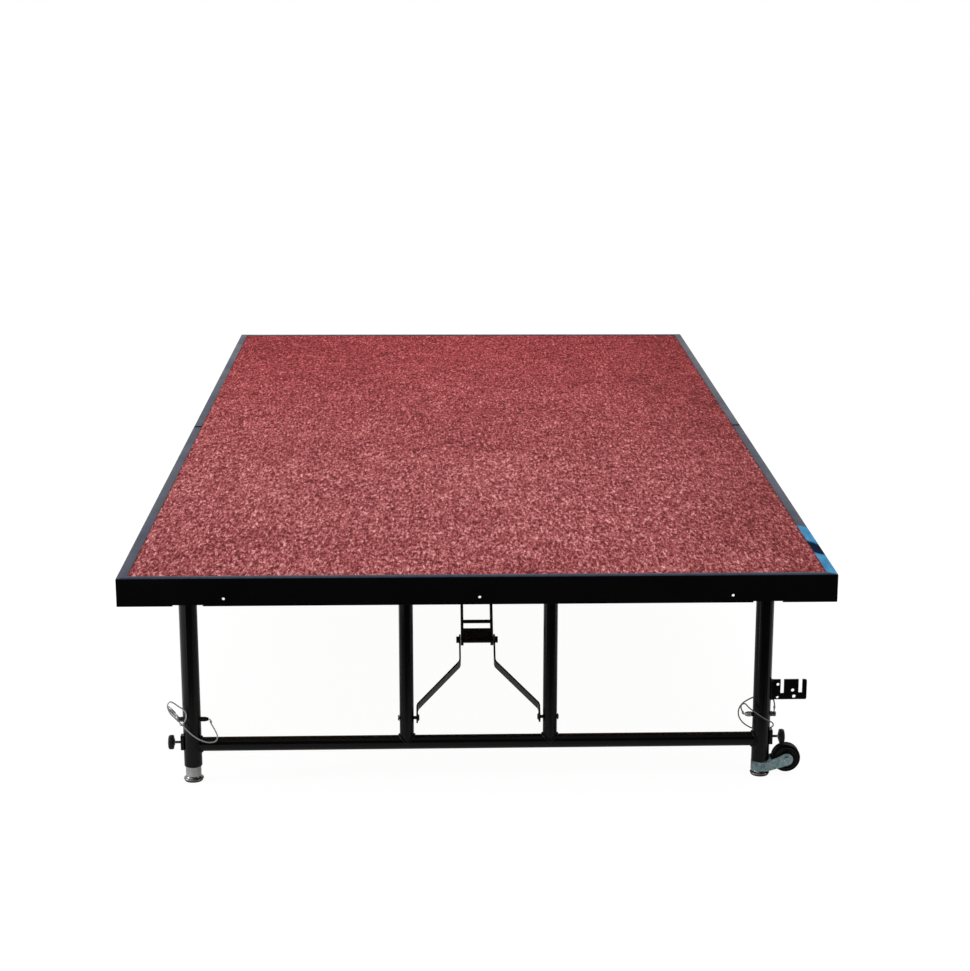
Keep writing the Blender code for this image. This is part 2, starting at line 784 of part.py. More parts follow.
def make_outer_leg(side, end, frame):
    x = side * LEG_X
    y = end * (DECK_LENGTH / 2 - LEG_INSET)
    name = "outer_leg_%s_%s" % (END_NAMES[end], SIDE_NAMES[side])
    radius = LEG_DIAMETER / 2
    inner = radius - LEG_WALL
    top = HINGE_Z + LEG_TOP_ABOVE_HINGE
    edge = LEG_WALL / 2
    profile = (
        (inner, LEG_END_Z),
        (radius - edge, LEG_END_Z),
        (radius, LEG_END_Z + edge),
        (radius, top),
        (inner, top),
    )
    obj = turned(name, profile, "Z", (x, y), SEG_LEG)
    # Boss for the clamp screw, a rounded block that grows out of the leg's outer wall.
    root = inner + LEG_WALL / 2
    half = BOSS_WIDTH / 2
    corner = BOSS_CORNER
    sides = []
    for cx, cz, start in ((1, 1, 0), (-1, 1, 90), (-1, -1, 180), (1, -1, 270)):
        centre_y = y + cx * (half - corner)
        centre_z = KNOB_Z + cz * (BOSS_HEIGHT / 2 - corner)
        sides += arc(centre_y, centre_z, corner, start, start + 90, 2)
    reach = sorted((x + side * root, x + side * BOSS_REACH))
    unite(obj, prism("boss", sides, "X", reach[0], reach[1]))
    # Anchor for the lanyard on the inboard wall.
    start = radius - LEG_WALL / 2
    shoulder = radius + ANCHOR_LENGTH * 0.55
    tip = radius + ANCHOR_LENGTH
    anchor = (
        (0, x - side * start),
        (ANCHOR_DIAMETER / 2, x - side * start),
        (ANCHOR_DIAMETER / 2, x - side * shoulder),
        (ANCHOR_TIP_DIAMETER / 2, x - side * tip),
        (0, x - side * tip),
    )
    unite(obj, turned("anchor", anchor, "X", (y, PIN_Z), SEG_SMALL))
    # The bore runs on through the root of the boss, so the inner leg stays free.
    bore = rod("bore", "Z", (x, y), inner, LEG_END_Z - OVERRUN, top + OVERRUN, SEG_LEG)
    cut(obj, bore)
    hinge = rod(
        "hinge",
        "X",
        (y, HINGE_Z),
        HINGE_TUBE_DIAMETER / 2 + GAP,
        x - LEG_DIAMETER,
        x + LEG_DIAMETER,
        SEG_TUBE,
    )
    cut(obj, hinge)
    for label, z, diameter in (
        ("pin_hole", PIN_Z, PIN_HOLE_DIAMETER),
        ("screw_hole", KNOB_Z, SCREW_DIAMETER + 2 * RUNNING_GAP),
    ):
        reach = sorted((x + side * (inner - OVERRUN), x + side * (BOSS_REACH + OVERRUN)))
        cut(obj, rod(label, "X", (y, z), diameter / 2, reach[0], reach[1], SEG_SMALL))
    finish_object(obj, "black_steel")
    return seat(obj, frame)


def make_strut(side, end, frame):
    x = side * STRUT_X
    y = end * (DECK_LENGTH / 2 - LEG_INSET)
    name = "strut_%s_%s" % (END_NAMES[end], SIDE_NAMES[side])
    obj = pipe(name, "Z", (x, y), STRUT_DIAMETER / 2, STRUT_WALL, CROSS_TUBE_Z, HINGE_Z, SEG_TUBE)
    reach = (x - STRUT_DIAMETER, x + STRUT_DIAMETER)
    for label, z, diameter in (
        ("low_saddle", CROSS_TUBE_Z, CROSS_TUBE_DIAMETER),
        ("high_saddle", HINGE_Z, HINGE_TUBE_DIAMETER),
        ("rivet_hole", ARM_PIVOT_Z, RIVET_DIAMETER),
    ):
        segments = SEG_SMALL if label == "rivet_hole" else SEG_TUBE
        cutter = rod(label, "X", (y, z), diameter / 2 + GAP, reach[0], reach[1], segments)
        cut(obj, cutter)
    finish_object(obj, "black_steel")
    return seat(obj, frame)


def make_cross_tube(end, frame):
    y = end * (DECK_LENGTH / 2 - LEG_INSET)
    obj = pipe(
        "cross_tube_" + END_NAMES[end],
        "X",
        (y, CROSS_TUBE_Z),
        CROSS_TUBE_DIAMETER / 2,
        CROSS_TUBE_WALL,
        -LEG_X,
        LEG_X,
        SEG_TUBE,
    )
    for side in (LEFT, RIGHT):
        saddle = rod(
            "saddle_" + SIDE_NAMES[side],
            "Z",
            (side * LEG_X, y),
            LEG_DIAMETER / 2 + GAP,
            CROSS_TUBE_Z - CROSS_TUBE_DIAMETER,
            CROSS_TUBE_Z + CROSS_TUBE_DIAMETER,
            SEG_LEG,
        )
        cut(obj, saddle)
    finish_object(obj, "black_steel")
    return seat(obj, frame)


def make_link_plate(end, frame):
    y = end * (DECK_LENGTH / 2 - LEG_INSET)
    x0 = LEG_X + LEG_DIAMETER / 2 + GAP
    low = PLATE_Z - PLATE_HEIGHT / 2
    high = low + PLATE_HEIGHT
    right = x0 + PLATE_REACH
    root = LEG_X + LEG_DIAMETER / 2 - PLATE_ROOT
    outline = [(root, high), (root, low)]
    outline += arc(right - PLATE_CORNER, low + PLATE_CORNER, PLATE_CORNER, 270, 360, 3)
    outline += arc(right - PLATE_CORNER, high - PLATE_CORNER, PLATE_CORNER, 0, 90, 3)
    for slot_x, width, depth in (
        (SLOT_B_X, SLOT_B_WIDTH, SLOT_B_DEPTH),
        (SLOT_A_X, SLOT_A_WIDTH, SLOT_A_DEPTH),
    ):
        edge = x0 + slot_x
        outline.append((edge + width / 2, high))
        outline.append((edge + width / 2, high - depth))
        outline.append((edge - width / 2, high - depth))
        outline.append((edge - width / 2, high))
    half = PLATE_THICKNESS / 2
    holes = []
    for hole_x, hole_z, diameter in PLATE_HOLES:
        holes.append(arc(x0 + hole_x, low + hole_z, diameter / 2, 15, 345, SEG_SMALL - 1))
    name = "link_plate_" + END_NAMES[end]
    obj = pierced_prism(name, outline, holes, "Y", y - half, y + half)
    flange_y = (y - PLATE_FLANGE_WIDTH / 2, y + PLATE_FLANGE_WIDTH / 2)
    flange = box(
        "flange",
        (root - PLATE_FLANGE_SET_IN, x0 + PLATE_FLANGE_THICKNESS),
        flange_y,
        (low + PLATE_FLANGE_SET_IN, high - PLATE_FLANGE_SET_IN),
    )
    unite(obj, flange)
    saddle = rod(
        "saddle",
        "Z",
        (LEG_X, y),
        LEG_DIAMETER / 2 + GAP,
        low - OVERRUN,
        high + OVERRUN,
        SEG_LEG,
    )
    cut(obj, saddle)
    finish_object(obj, "black_steel")
    return seat(obj, frame)


def brace_point(end, across, from_pivot, pivot, sideways=0.0):
    """A world point on the brace: distance from a pivot along the brace, and square to it."""
    u = pivot.x + BRACE_ALONG.x * from_pivot - BRACE_ALONG.y * sideways
    v = pivot.y + BRACE_ALONG.y * from_pivot + BRACE_ALONG.x * sideways
    y = end * (DECK_LENGTH / 2 - LEG_INSET - u)
    return Vector((across, y, HINGE_Z + v))


def bar(name, end, pivot, spine, width, thickness):
    """A flat bar of even thickness that follows a spine of (x, distance along the brace).

    Its ends are rounded in the plane of the swing.
    """
    offsets = []
    for i, (x, t) in enumerate(spine):
        before = spine[max(i - 1, 0)]
        after = spine[min(i + 1, len(spine) - 1)]
        d0 = Vector((x - before[0], t - before[1]))
        d1 = Vector((after[0] - x, after[1] - t))
        d0 = d0.normalized() if d0.length else d1.normalized()
        d1 = d1.normalized() if d1.length else d0
        n0 = Vector((d0.y, -d0.x))
        n1 = Vector((d1.y, -d1.x))
        mitre = (n0 + n1).normalized()
        offsets.append(mitre * (thickness / 2 / mitre.dot(n1)))
    rows = []
    radius = width / 2
    steps = 4
    first, last = spine[0], spine[-1]
    for i in range(steps + 1):
        angle = math.radians(90.0 * i / steps)
        rows.append((first[0], first[1] - radius * math.cos(angle), radius * math.sin(angle), offsets[0]))
    for i in range(1, len(spine) - 1):
        rows.append((spine[i][0], spine[i][1], radius, offsets[i]))
    for i in range(steps + 1):
        angle = math.radians(90.0 * i / steps)
        rows.append((last[0], last[1] + radius * math.sin(angle), radius * math.cos(angle), offsets[-1]))
    bm = bmesh.new()
    rings = []
    for x, t, half, offset in rows:
        half = max(half, 0.0)
        corners = []
        for sign, way in ((1, 1), (1, -1), (-1, -1), (-1, 1)):
            point = brace_point(end, x + sign * offset.x, t + sign * offset.y, pivot, way * half)
            corners.append(bm.verts.new(point))
        rings.append(corners)
    bm.faces.new(rings[0])
    bm.faces.new(rings[-1])
    for low, high in zip(rings, rings[1:]):
        for i in range(4):
            j = (i + 1) % 4
            bm.faces.new((low[i], low[j], high[j], high[i]))
    bmesh.ops.remove_doubles(bm, verts=bm.verts, dist=1e-6)
    return link_mesh(name, bm)


def make_lower_arm(side, end, arms):
    name = "lower_arm_%s_%s" % (END_NAMES[end], SIDE_NAMES[side])
    high = ARM_LENGTH - ARM_STRAIGHT_HIGH
    spine = [
        (side * ARM_X_AT_LEG, 0.0),
        (side * ARM_X_AT_LEG, ARM_STRAIGHT_LOW - ARM_BEND_BEFORE),
        (side * (ARM_X_AT_LEG - ARM_BEND_SHIFT), ARM_STRAIGHT_LOW + ARM_BEND_AFTER),
        (side * (ARM_X_AT_KNEE + ARM_BEND_SHIFT), high - ARM_BEND_AFTER),
        (side * ARM_X_AT_KNEE, high + ARM_BEND_BEFORE),
        (side * ARM_X_AT_KNEE, ARM_LENGTH),
    ]
    obj = bar(name, end, ARM_PIVOT, spine, BAR_WIDTH, BAR_THICKNESS)
    # Knee bolt head on the outer face.
    knee = brace_point(end, 0.0, ARM_LENGTH, ARM_PIVOT)
    face = ARM_X_AT_KNEE + BAR_THICKNESS / 2
    x = sorted((side * (face - BAR_THICKNESS / 2), side * (face + KNEE_HEAD_THICKNESS)))
    unite(obj, rod("knee_head", "X", (knee.y, knee.z), KNEE_HEAD_DIAMETER / 2, x[0], x[1], 12))
    # Rivet through the strut with a head on each side.
    pivot = brace_point(end, 0.0, 0.0, ARM_PIVOT)
    head_low = ARM_X_AT_LEG - BAR_THICKNESS / 2 - RIVET_HEAD_THICKNESS
    strut_out = STRUT_X + STRUT_DIAMETER / 2 + GAP
    profile = (
        (0, side * head_low),
        (RIVET_HEAD_DIAMETER / 2 * RIVET_CROWN_SHARE, side * head_low),
        (RIVET_HEAD_DIAMETER / 2, side * (head_low + RIVET_HEAD_THICKNESS * 0.6)),
        (RIVET_HEAD_DIAMETER / 2, side * (ARM_X_AT_LEG)),
        (RIVET_DIAMETER / 2, side * (ARM_X_AT_LEG)),
        (RIVET_DIAMETER / 2, side * strut_out),
        (RIVET_HEAD_DIAMETER / 2, side * strut_out),
        (RIVET_HEAD_DIAMETER / 2 * RIVET_CROWN_SHARE, side * (strut_out + RIVET_HEAD_THICKNESS)),
        (0, side * (strut_out + RIVET_HEAD_THICKNESS)),
    )
    unite(obj, turned("rivet", profile, "X", (pivot.y, pivot.z), SEG_SMALL))
    finish_object(obj, "black_steel")
    return seat(obj, arms)


def make_upper_brace(end, links):
    name = "upper_brace_" + END_NAMES[end]
    reach = LINK_LENGTH
    inner = LINK_X - LINK_BAR_THICKNESS / 2
    bars = []
    for side in (LEFT, RIGHT):
        spine = [
            (side * LINK_X, -BAR_WIDTH / 2 + KNEE_OVERHANG),
            (side * LINK_X, reach / 2),
            (side * LINK_X, reach),
        ]
        label = name if side == LEFT else "bar"
        bars.append(bar(label, end, KNEE, spine, BAR_WIDTH, LINK_BAR_THICKNESS))
    obj = bars[0]
    knee = brace_point(end, 0.0, 0.0, KNEE)
    cross = brace_point(end, 0.0, BRACE_ROD_FROM_KNEE, KNEE)
    pivot = brace_point(end, 0.0, reach, KNEE)
    outer = LINK_X + LINK_BAR_THICKNESS / 2
    half = LINK_X
    sleeve = rod("sleeve", "X", (knee.y, knee.z), KNEE_SLEEVE_DIAMETER / 2, -half, half, SEG_SMALL)
    brace_rod = rod("rod", "X", (cross.y, cross.z), BRACE_ROD_DIAMETER / 2, -half, half, SEG_SMALL)
    corners = []
    for t, w in (
        (STOP_PLATE_START, -0.5),
        (STOP_PLATE_START + STOP_PLATE_LENGTH, -0.5),
        (STOP_PLATE_START + STOP_PLATE_LENGTH, 0.5),
        (STOP_PLATE_START, 0.5),
    ):
        point = brace_point(end, 0.0, t, KNEE, w * STOP_PLATE_THICKNESS)
        corners.append((point.y, point.z))
    plate = prism("stop_plate", corners, "X", -LINK_X, LINK_X)
    ear_out = outer + EAR_SIDE_GAP + EAR_THICKNESS + EAR_SIDE_GAP
    head = ear_out + RIVET_HEAD_THICKNESS
    big = RIVET_HEAD_DIAMETER / 2
    small = LINK_PIN_DIAMETER / 2
    profile = (
        (0, -head),
        (big * RIVET_CROWN_SHARE, -head),
        (big, -ear_out),
        (small, -ear_out),
        (small, ear_out),
        (big, ear_out),
        (big * RIVET_CROWN_SHARE, head),
        (0, head),
    )
    pin = turned("pin", profile, "X", (pivot.y, pivot.z), SEG_SMALL)
    unite(obj, sleeve, brace_rod, plate, pin, bars[1])
    finish_object(obj, "black_steel")
    return seat(obj, links)


def make_inner_leg(side, end, inner):
    x = side * LEG_X
    y = end * (DECK_LENGTH / 2 - LEG_INSET)
    name = "inner_leg_%s_%s" % (END_NAMES[end], SIDE_NAMES[side])
    top = HINGE_Z - HINGE_TUBE_DIAMETER / 2 - INNER_LEG_TOP_GAP
    low = FOOT_HEIGHT + GAP
    radius = INNER_LEG_DIAMETER / 2
    obj = pipe(name, "Z", (x, y), radius, INNER_LEG_WALL, low, top, SEG_LEG)
    for i, z in enumerate((PIN_Z, PIN_Z + HEIGHT_STEP)):
        reach = (x - LEG_DIAMETER, x + LEG_DIAMETER)
        drill = rod("hole%d" % i, "X", (y, z), PIN_HOLE_DIAMETER / 2, reach[0], reach[1], SEG_SMALL)
        cut(obj, drill)
    finish_object(obj, "zinc")
    return seat(obj, inner)


def make_foot(side, end, inner):
    x = side * LEG_X
    y = end * (DECK_LENGTH / 2 - LEG_INSET)
    name = "foot_%s_%s" % (END_NAMES[end], SIDE_NAMES[side])
    radius = FOOT_DIAMETER / 2
    plug = INNER_LEG_DIAMETER / 2 - INNER_LEG_WALL - GAP
    profile = (
        (0, 0),
        (radius - FOOT_EDGE, 0),
        (radius, FOOT_EDGE),
        (radius, FOOT_RIM_HEIGHT - FOOT_EDGE),
        (radius - FOOT_EDGE, FOOT_RIM_HEIGHT),
        (INNER_LEG_DIAMETER / 2, FOOT_HEIGHT),
        (plug, FOOT_HEIGHT),
        (plug, FOOT_HEIGHT + FOOT_PLUG_LENGTH),
        (0, FOOT_HEIGHT + FOOT_PLUG_LENGTH),
    )
    obj = turned(name, profile, "Z", (x, y), SEG_FOOT)
    finish_object(obj, "chrome")
    return seat(obj, inner)


def make_height_pin(side, end, pin):
    """A short pin: its tip stops just outside the inner leg."""
    x = side * LEG_X
    y = end * (DECK_LENGTH / 2 - LEG_INSET)
    name = "height_pin_%s_%s" % (END_NAMES[end], SIDE_NAMES[side])
    tip = INNER_LEG_DIAMETER / 2 + PIN_TIP_GAP
    shoulder = LEG_DIAMETER / 2 + GAP
    head = shoulder + PIN_HEAD_LENGTH
    big = PIN_HEAD_DIAMETER / 2
    small = PIN_DIAMETER / 2
    profile = (
        (0, x + side * tip),
        (small, x + side * tip),
        (small, x + side * shoulder),
        (big, x + side * shoulder),
        (big, x + side * (head - PIN_HEAD_CHAMFER)),
        (big - PIN_HEAD_CHAMFER, x + side * head),
        (0, x + side * head),
    )
    obj = turned(name, profile, "X", (y, PIN_Z), SEG_SMALL)
    if side == LEFT:
        unite(obj, make_ring(x + side * (head - RING_FROM_HEAD_END), y, PIN_Z, end))
    finish_object(obj, "chrome")
    return seat(obj, pin)


def make_ring(x, y, z, end):
    """A split ring through the pin's head. It leans up and outboard."""
    radius = (RING_DIAMETER - RING_WIRE) / 2
    lean = math.radians(52)
    tilt = math.radians(66)
    long_way = Vector((-math.cos(lean), 0.0, math.sin(lean)))
    flat_way = Vector((math.sin(lean), 0.0, math.cos(lean)))
    short_way = flat_way * math.cos(tilt) + Vector((0.0, end * math.sin(tilt), 0.0))
    normal = long_way.cross(short_way).normalized()
    centre = Vector((x, y, z)) + long_way * radius
    bm = bmesh.new()
    rings = []
    for i in range(SEG_RING):
        angle = 2 * math.pi * i / SEG_RING
        out = long_way * math.cos(angle) + short_way * math.sin(angle)
        ring = []
        for j in range(SEG_RING_WIRE):
            turn = 2 * math.pi * j / SEG_RING_WIRE
            offset = (out * math.cos(turn) + normal * math.sin(turn)) * RING_WIRE / 2
            ring.append(bm.verts.new(centre + out * radius + offset))
        rings.append(ring)
    for i in range(SEG_RING):
        low, high = rings[i], rings[(i + 1) % SEG_RING]
        for j in range(SEG_RING_WIRE):
            k = (j + 1) % SEG_RING_WIRE
            bm.faces.new((low[j], low[k], high[k], high[j]))
    return link_mesh("ring", bm)


def make_clamp_knob(side, end, knob):
    x = side * LEG_X
    y = end * (DECK_LENGTH / 2 - LEG_INSET)
    name = "clamp_knob_%s_%s" % (END_NAMES[end], SIDE_NAMES[side])
    bm = bmesh.new()
    rings = []
    outer = KNOB_DIAMETER / 2
    near = KNOB_STAND_OFF
    far = KNOB_STAND_OFF + KNOB_THICKNESS
    for inset, t in ((KNOB_EDGE, near), (0.0, near + KNOB_EDGE), (0.0, far - KNOB_EDGE), (KNOB_EDGE, far)):
        ring = []
        for i in range(SEG_KNOB):
            angle = 2 * math.pi * i / SEG_KNOB
            dip = KNOB_LOBE_DEPTH * (1 - math.cos(KNOB_LOBES * angle)) / 2
            radius = outer - inset - dip
            a = y + radius * math.cos(angle)
            b = KNOB_Z + radius * math.sin(angle)
            ring.append(bm.verts.new((x + side * t, a, b)))
        rings.append(ring)
    bm.faces.new(rings[0])
    bm.faces.new(rings[-1])
    for low, high in zip(rings, rings[1:]):
        for i in range(SEG_KNOB):
            j = (i + 1) % SEG_KNOB
            bm.faces.new((low[i], low[j], high[j], high[i]))
    obj = link_mesh(name, bm)
    tip = INNER_LEG_DIAMETER / 2 + SCREW_TIP_GAP
    reach = sorted((x + side * tip, x + side * (near + KNOB_THICKNESS / 2)))
    unite(obj, rod("screw", "X", (y, KNOB_Z), SCREW_DIAMETER / 2, reach[0], reach[1], SEG_SMALL))
    finish_object(obj, "black_plastic")
    return seat(obj, knob)


def strap_cheek():
    """The strap's cheek seen along Y: (x from the leg axis, z), running anticlockwise."""
    wheel = Vector((WHEEL_REACH, WHEEL_Z))
    points = [(0.0, STRAP_BOTTOM_Z)]

    def tangent(start, side_sign):
        to_centre = wheel - start
        distance = to_centre.length
        base = math.atan2(to_centre.y, to_centre.x)
        spread = math.asin(STRAP_END_RADIUS / distance)
        reach = math.sqrt(distance**2 - STRAP_END_RADIUS**2)
        angle = base + side_sign * spread
        return start + Vector((math.cos(angle), math.sin(angle))) * reach

    low_start = Vector((LEG_DIAMETER / 2 - STRAP_LOW_ROOT, STRAP_BOTTOM_Z))
    high_start = Vector((LEG_DIAMETER / 2 - STRAP_HIGH_ROOT, STRAP_TOP_Z))
    low = tangent(low_start, -1)
    high = tangent(high_start, 1)
    points.append(tuple(low_start))
    a0 = math.degrees(math.atan2(low.y - wheel.y, low.x - wheel.x))
    a1 = math.degrees(math.atan2(high.y - wheel.y, high.x - wheel.x))
    while a1 < a0:
        a1 += 360
    points += arc(wheel.x, wheel.y, STRAP_END_RADIUS, a0, a1, 10)
    points.append(tuple(high_start))
    points.append((0.0, STRAP_TOP_Z))
    return points


def make_wheel_strap(end, inner):
    """A zinc strap bent round the inner leg, with its axle bolt."""
    y = end * (DECK_LENGTH / 2 - LEG_INSET)
    near = INNER_LEG_DIAMETER / 2 + GAP
    far = near + STRAP_THICKNESS
    outline = [(LEG_X, y + far)]
    outline += arc(LEG_X, y, far, 90, 270, 12)
    outline.append((LEG_X + STRAP_LAP, y - far))
    outline.append((LEG_X + STRAP_LAP, y - near))
    outline += arc(LEG_X, y, near, 270, 90, 12)
    outline.append((LEG_X + STRAP_LAP, y + near))
    outline.append((LEG_X + STRAP_LAP, y + far))
    outline = list(dict.fromkeys((round(a, 9), round(b, 9)) for a, b in outline))
    obj = prism("wheel_strap_" + END_NAMES[end], outline, "Z", STRAP_BOTTOM_Z, STRAP_TOP_Z)
    cheek = [(LEG_X + a, b) for a, b in strap_cheek()]
    for label, low, high in (("cheek_a", y - far, y - near), ("cheek_b", y + near, y + far)):
        unite(obj, prism(label, cheek, "Y", low, high))
    centre = (LEG_X + WHEEL_REACH, WHEEL_Z)
    axle = rod("axle", "Y", centre, AXLE_DIAMETER / 2, y - far - GAP, y + far + GAP, SEG_SMALL)
    unite(obj, axle)
    for label, way in (("head", -1), ("nut", 1)):
        t = sorted((y + way * (far - STRAP_THICKNESS / 2), y + way * (far + AXLE_HEAD_HEIGHT)))
        nut = prism(label, hexagon(centre[0], centre[1], AXLE_HEAD_ACROSS), "Y", t[0], t[1])
        unite(obj, nut)
    finish_object(obj, "zinc")
    return seat(obj, inner)


def make_wheel(end, wheel):
    y = end * (DECK_LENGTH / 2 - LEG_INSET)
    half = WHEEL_WIDTH / 2
    bore = AXLE_DIAMETER / 2 + RUNNING_GAP
    hub = WHEEL_HUB_DIAMETER / 2
    rim = WHEEL_DIAMETER / 2
    boss = hub * 0.55
    profile = (
        (bore, y - half),
        (boss, y - half),
        (boss, y - half + WHEEL_HUB_RECESS),
        (hub, y - half + WHEEL_HUB_RECESS),
        (hub + WHEEL_HUB_DRAFT, y - half),
        (rim - WHEEL_EDGE, y - half),
        (rim, y - half + WHEEL_EDGE),
        (rim, y + half - WHEEL_EDGE),
        (rim - WHEEL_EDGE, y + half),
        (hub + WHEEL_HUB_DRAFT, y + half),
        (hub, y + half - WHEEL_HUB_RECESS),
        (boss, y + half - WHEEL_HUB_RECESS),
        (boss, y + half),
        (bore, y + half),
    )
    centre = (LEG_X + WHEEL_REACH, WHEEL_Z)
    obj = turned("lift_wheel_" + END_NAMES[end], profile, "Y", centre, SEG_WHEEL)
    finish_object(obj, "wheel_rubber")
    return seat(obj, wheel)


def smooth_route(points, step):
    """Evenly spaced points along a centripetal curve through the route's own points."""
    points = [np.array(p, float) for p in points]
    points = [2 * points[0] - points[1]] + points + [2 * points[-1] - points[-2]]
    dense = []
    for p0, p1, p2, p3 in zip(points, points[1:], points[2:], points[3:]):
        t0 = 0.0
        t1 = t0 + math.sqrt(np.linalg.norm(p1 - p0))
        t2 = t1 + math.sqrt(np.linalg.norm(p2 - p1))
        t3 = t2 + math.sqrt(np.linalg.norm(p3 - p2))
        for t in np.linspace(t1, t2, 16, endpoint=False):
            a1 = (t1 - t) / (t1 - t0) * p0 + (t - t0) / (t1 - t0) * p1
            a2 = (t2 - t) / (t2 - t1) * p1 + (t - t1) / (t2 - t1) * p2
            a3 = (t3 - t) / (t3 - t2) * p2 + (t - t2) / (t3 - t2) * p3
            b1 = (t2 - t) / (t2 - t0) * a1 + (t - t0) / (t2 - t0) * a2
            b2 = (t3 - t) / (t3 - t1) * a2 + (t - t1) / (t3 - t1) * a3
            dense.append((t2 - t) / (t2 - t1) * b1 + (t - t1) / (t2 - t1) * b2)
    dense.append(points[-2])
    dense = np.array(dense)
    lengths = np.linalg.norm(np.diff(dense, axis=0), axis=1)
    along = np.concatenate([[0.0], np.cumsum(lengths)])
    count = max(2, int(round(along[-1] / step)) + 1)
    at = np.linspace(0.0, along[-1], count)
    spaced = np.stack([np.interp(at, along, dense[:, k]) for k in range(3)], axis=1)
    return spaced, along[-1]


def make_lanyard(side, end, frame):
    route = LANYARD_LEFT if side == LEFT else LANYARD_RIGHT
    points, length = smooth_route(route, LANYARD_POINT_STEP)
    y = end * (DECK_LENGTH / 2 - LEG_INSET)
    name = "lanyard_%s_%s" % (END_NAMES[end], SIDE_NAMES[side])
    curve = bpy.data.curves.new(name, "CURVE")
    curve.dimensions = "3D"
    curve.bevel_depth = LANYARD_DIAMETER / 2
    curve.bevel_resolution = 2
    curve.use_fill_caps = True
    spline = curve.splines.new("POLY")
    spline.points.add(len(points) - 1)
    for point, (out, ahead, up) in zip(spline.points, points):
        point.co = (side * (LEG_X + out), y + end * ahead, PIN_Z + up, 1.0)
    obj = bpy.data.objects.new(name, curve)
    bpy.context.scene.collection.objects.link(obj)
    print("%s length %.4f m, %d points" % (name, length, len(points)))
    finish_object(obj, "wire")
    return seat(obj, frame)


def build():
    clear_scene()
    deck = empty_at("deck_root", (0.0, 0.0, 0.0))
    make_carpet(deck)
    make_centre_member(deck)
    for side in (LEFT, RIGHT):
        make_splice_plate(side, deck)
        for end in (FRONT, REAR):
            make_side_rail(side, end, deck)
    for end in (FRONT, REAR):
        end_name = END_NAMES[end]
        y = end * (DECK_LENGTH / 2 - LEG_INSET)
        make_end_rail(end, deck)
        make_panel(end, deck)
        make_hinge_member(end, deck)
        make_brace_member(end, deck)
        frame = empty_at("leg_frame_%s_hinge" % end_name, (0.0, y, HINGE_Z), deck)
        make_hinge_tube(end, frame)
        make_cross_tube(end, frame)
        make_link_plate(end, frame)
        arm_at = brace_point(end, 0.0, 0.0, ARM_PIVOT)
        arms = empty_at("lower_arms_%s_hinge" % end_name, arm_at, frame)
        link_at = brace_point(end, 0.0, LINK_LENGTH, KNEE)
        links = empty_at("upper_brace_%s_hinge" % end_name, link_at, deck)
        make_upper_brace(end, links)
        for side in (LEFT, RIGHT):
            corner = "%s_%s" % (end_name, SIDE_NAMES[side])
            x = side * LEG_X
            make_outer_leg(side, end, frame)
            make_strut(side, end, frame)
            make_lower_arm(side, end, arms)
            inner = empty_at("inner_leg_%s_slide" % corner, (x, y, PIN_Z), frame)
            make_inner_leg(side, end, inner)
            make_foot(side, end, inner)
            pin_x = x + side * LEG_DIAMETER / 2
            pin = empty_at("height_pin_%s_slide" % corner, (pin_x, y, PIN_Z), frame)
            make_height_pin(side, end, pin)
            knob_x = x + side * KNOB_STAND_OFF
            knob = empty_at("clamp_knob_%s_axis" % corner, (knob_x, y, KNOB_Z), frame)
            make_clamp_knob(side, end, knob)
            make_lanyard(side, end, frame)
            if side == RIGHT:
                make_wheel_strap(end, inner)
                axle = (x + WHEEL_REACH, y, WHEEL_Z)
                wheel = empty_at("lift_wheel_%s_axle" % end_name, axle, inner)
                make_wheel(end, wheel)
    bpy.context.view_layer.update()


build()
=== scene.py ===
"""Looks of the portable stage: finishes, rounded rails, carpet pile, welds, wheels and lanyards.

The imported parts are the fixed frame. Pieces are modelled in the same frame, in metres, and ride on
the part that carries them.
"""

import math

import bmesh
import bpy
import numpy as np
from mathutils import Matrix, Vector


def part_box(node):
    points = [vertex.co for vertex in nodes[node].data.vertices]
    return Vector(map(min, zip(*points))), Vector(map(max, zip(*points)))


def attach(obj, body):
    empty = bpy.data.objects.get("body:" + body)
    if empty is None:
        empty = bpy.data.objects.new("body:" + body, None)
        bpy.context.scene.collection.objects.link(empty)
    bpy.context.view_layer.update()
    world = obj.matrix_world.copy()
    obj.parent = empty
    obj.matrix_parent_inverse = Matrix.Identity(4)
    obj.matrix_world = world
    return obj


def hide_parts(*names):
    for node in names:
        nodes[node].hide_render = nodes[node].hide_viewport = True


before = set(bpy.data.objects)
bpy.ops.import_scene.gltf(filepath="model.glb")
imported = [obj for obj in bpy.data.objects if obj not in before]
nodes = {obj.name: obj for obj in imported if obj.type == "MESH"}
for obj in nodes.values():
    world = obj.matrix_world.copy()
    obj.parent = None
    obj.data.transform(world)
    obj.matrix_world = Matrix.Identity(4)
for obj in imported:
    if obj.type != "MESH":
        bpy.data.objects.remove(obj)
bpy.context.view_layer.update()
scene = bpy.context.scene

# Places repeated from the part
HALF_WIDTH = 0.6096
HALF_LENGTH = 1.2192
DECK_TOP = 0.4064
RAIL_DEPTH = 0.049
RAIL_WALL = 0.003
FLANGE_WIDTH = 0.017
FLANGE_BOTTOM_H = 0.0065
LEDGE_WIDTH = 0.020
LEDGE_TOP_H = 0.0191
LEDGE_BOTTOM_H = 0.0216
LIP_WIDTH = 0.012
LIP_THICKNESS = 0.0025
HOLE_X = 0.431
HOLE_H = 0.036
HOLE_DIAMETER = 0.005
NOTCH_X = 0.4912
NOTCH_WIDTH = 0.051
NOTCH_DEPTH = 0.0025
LEG_X = 0.5053
LEG_Y = 1.0992
LEG_R = 0.015875
STRUT_X = 0.127
TUBE_R = 0.0127
CROSS_Z = 0.0675
HINGE_Z = 0.3514
PIN_Z = 0.114
KNOB_Z = 0.0715
WHEEL_X = 0.5513
WHEEL_Z = 0.0322
WHEEL_R = 0.0254
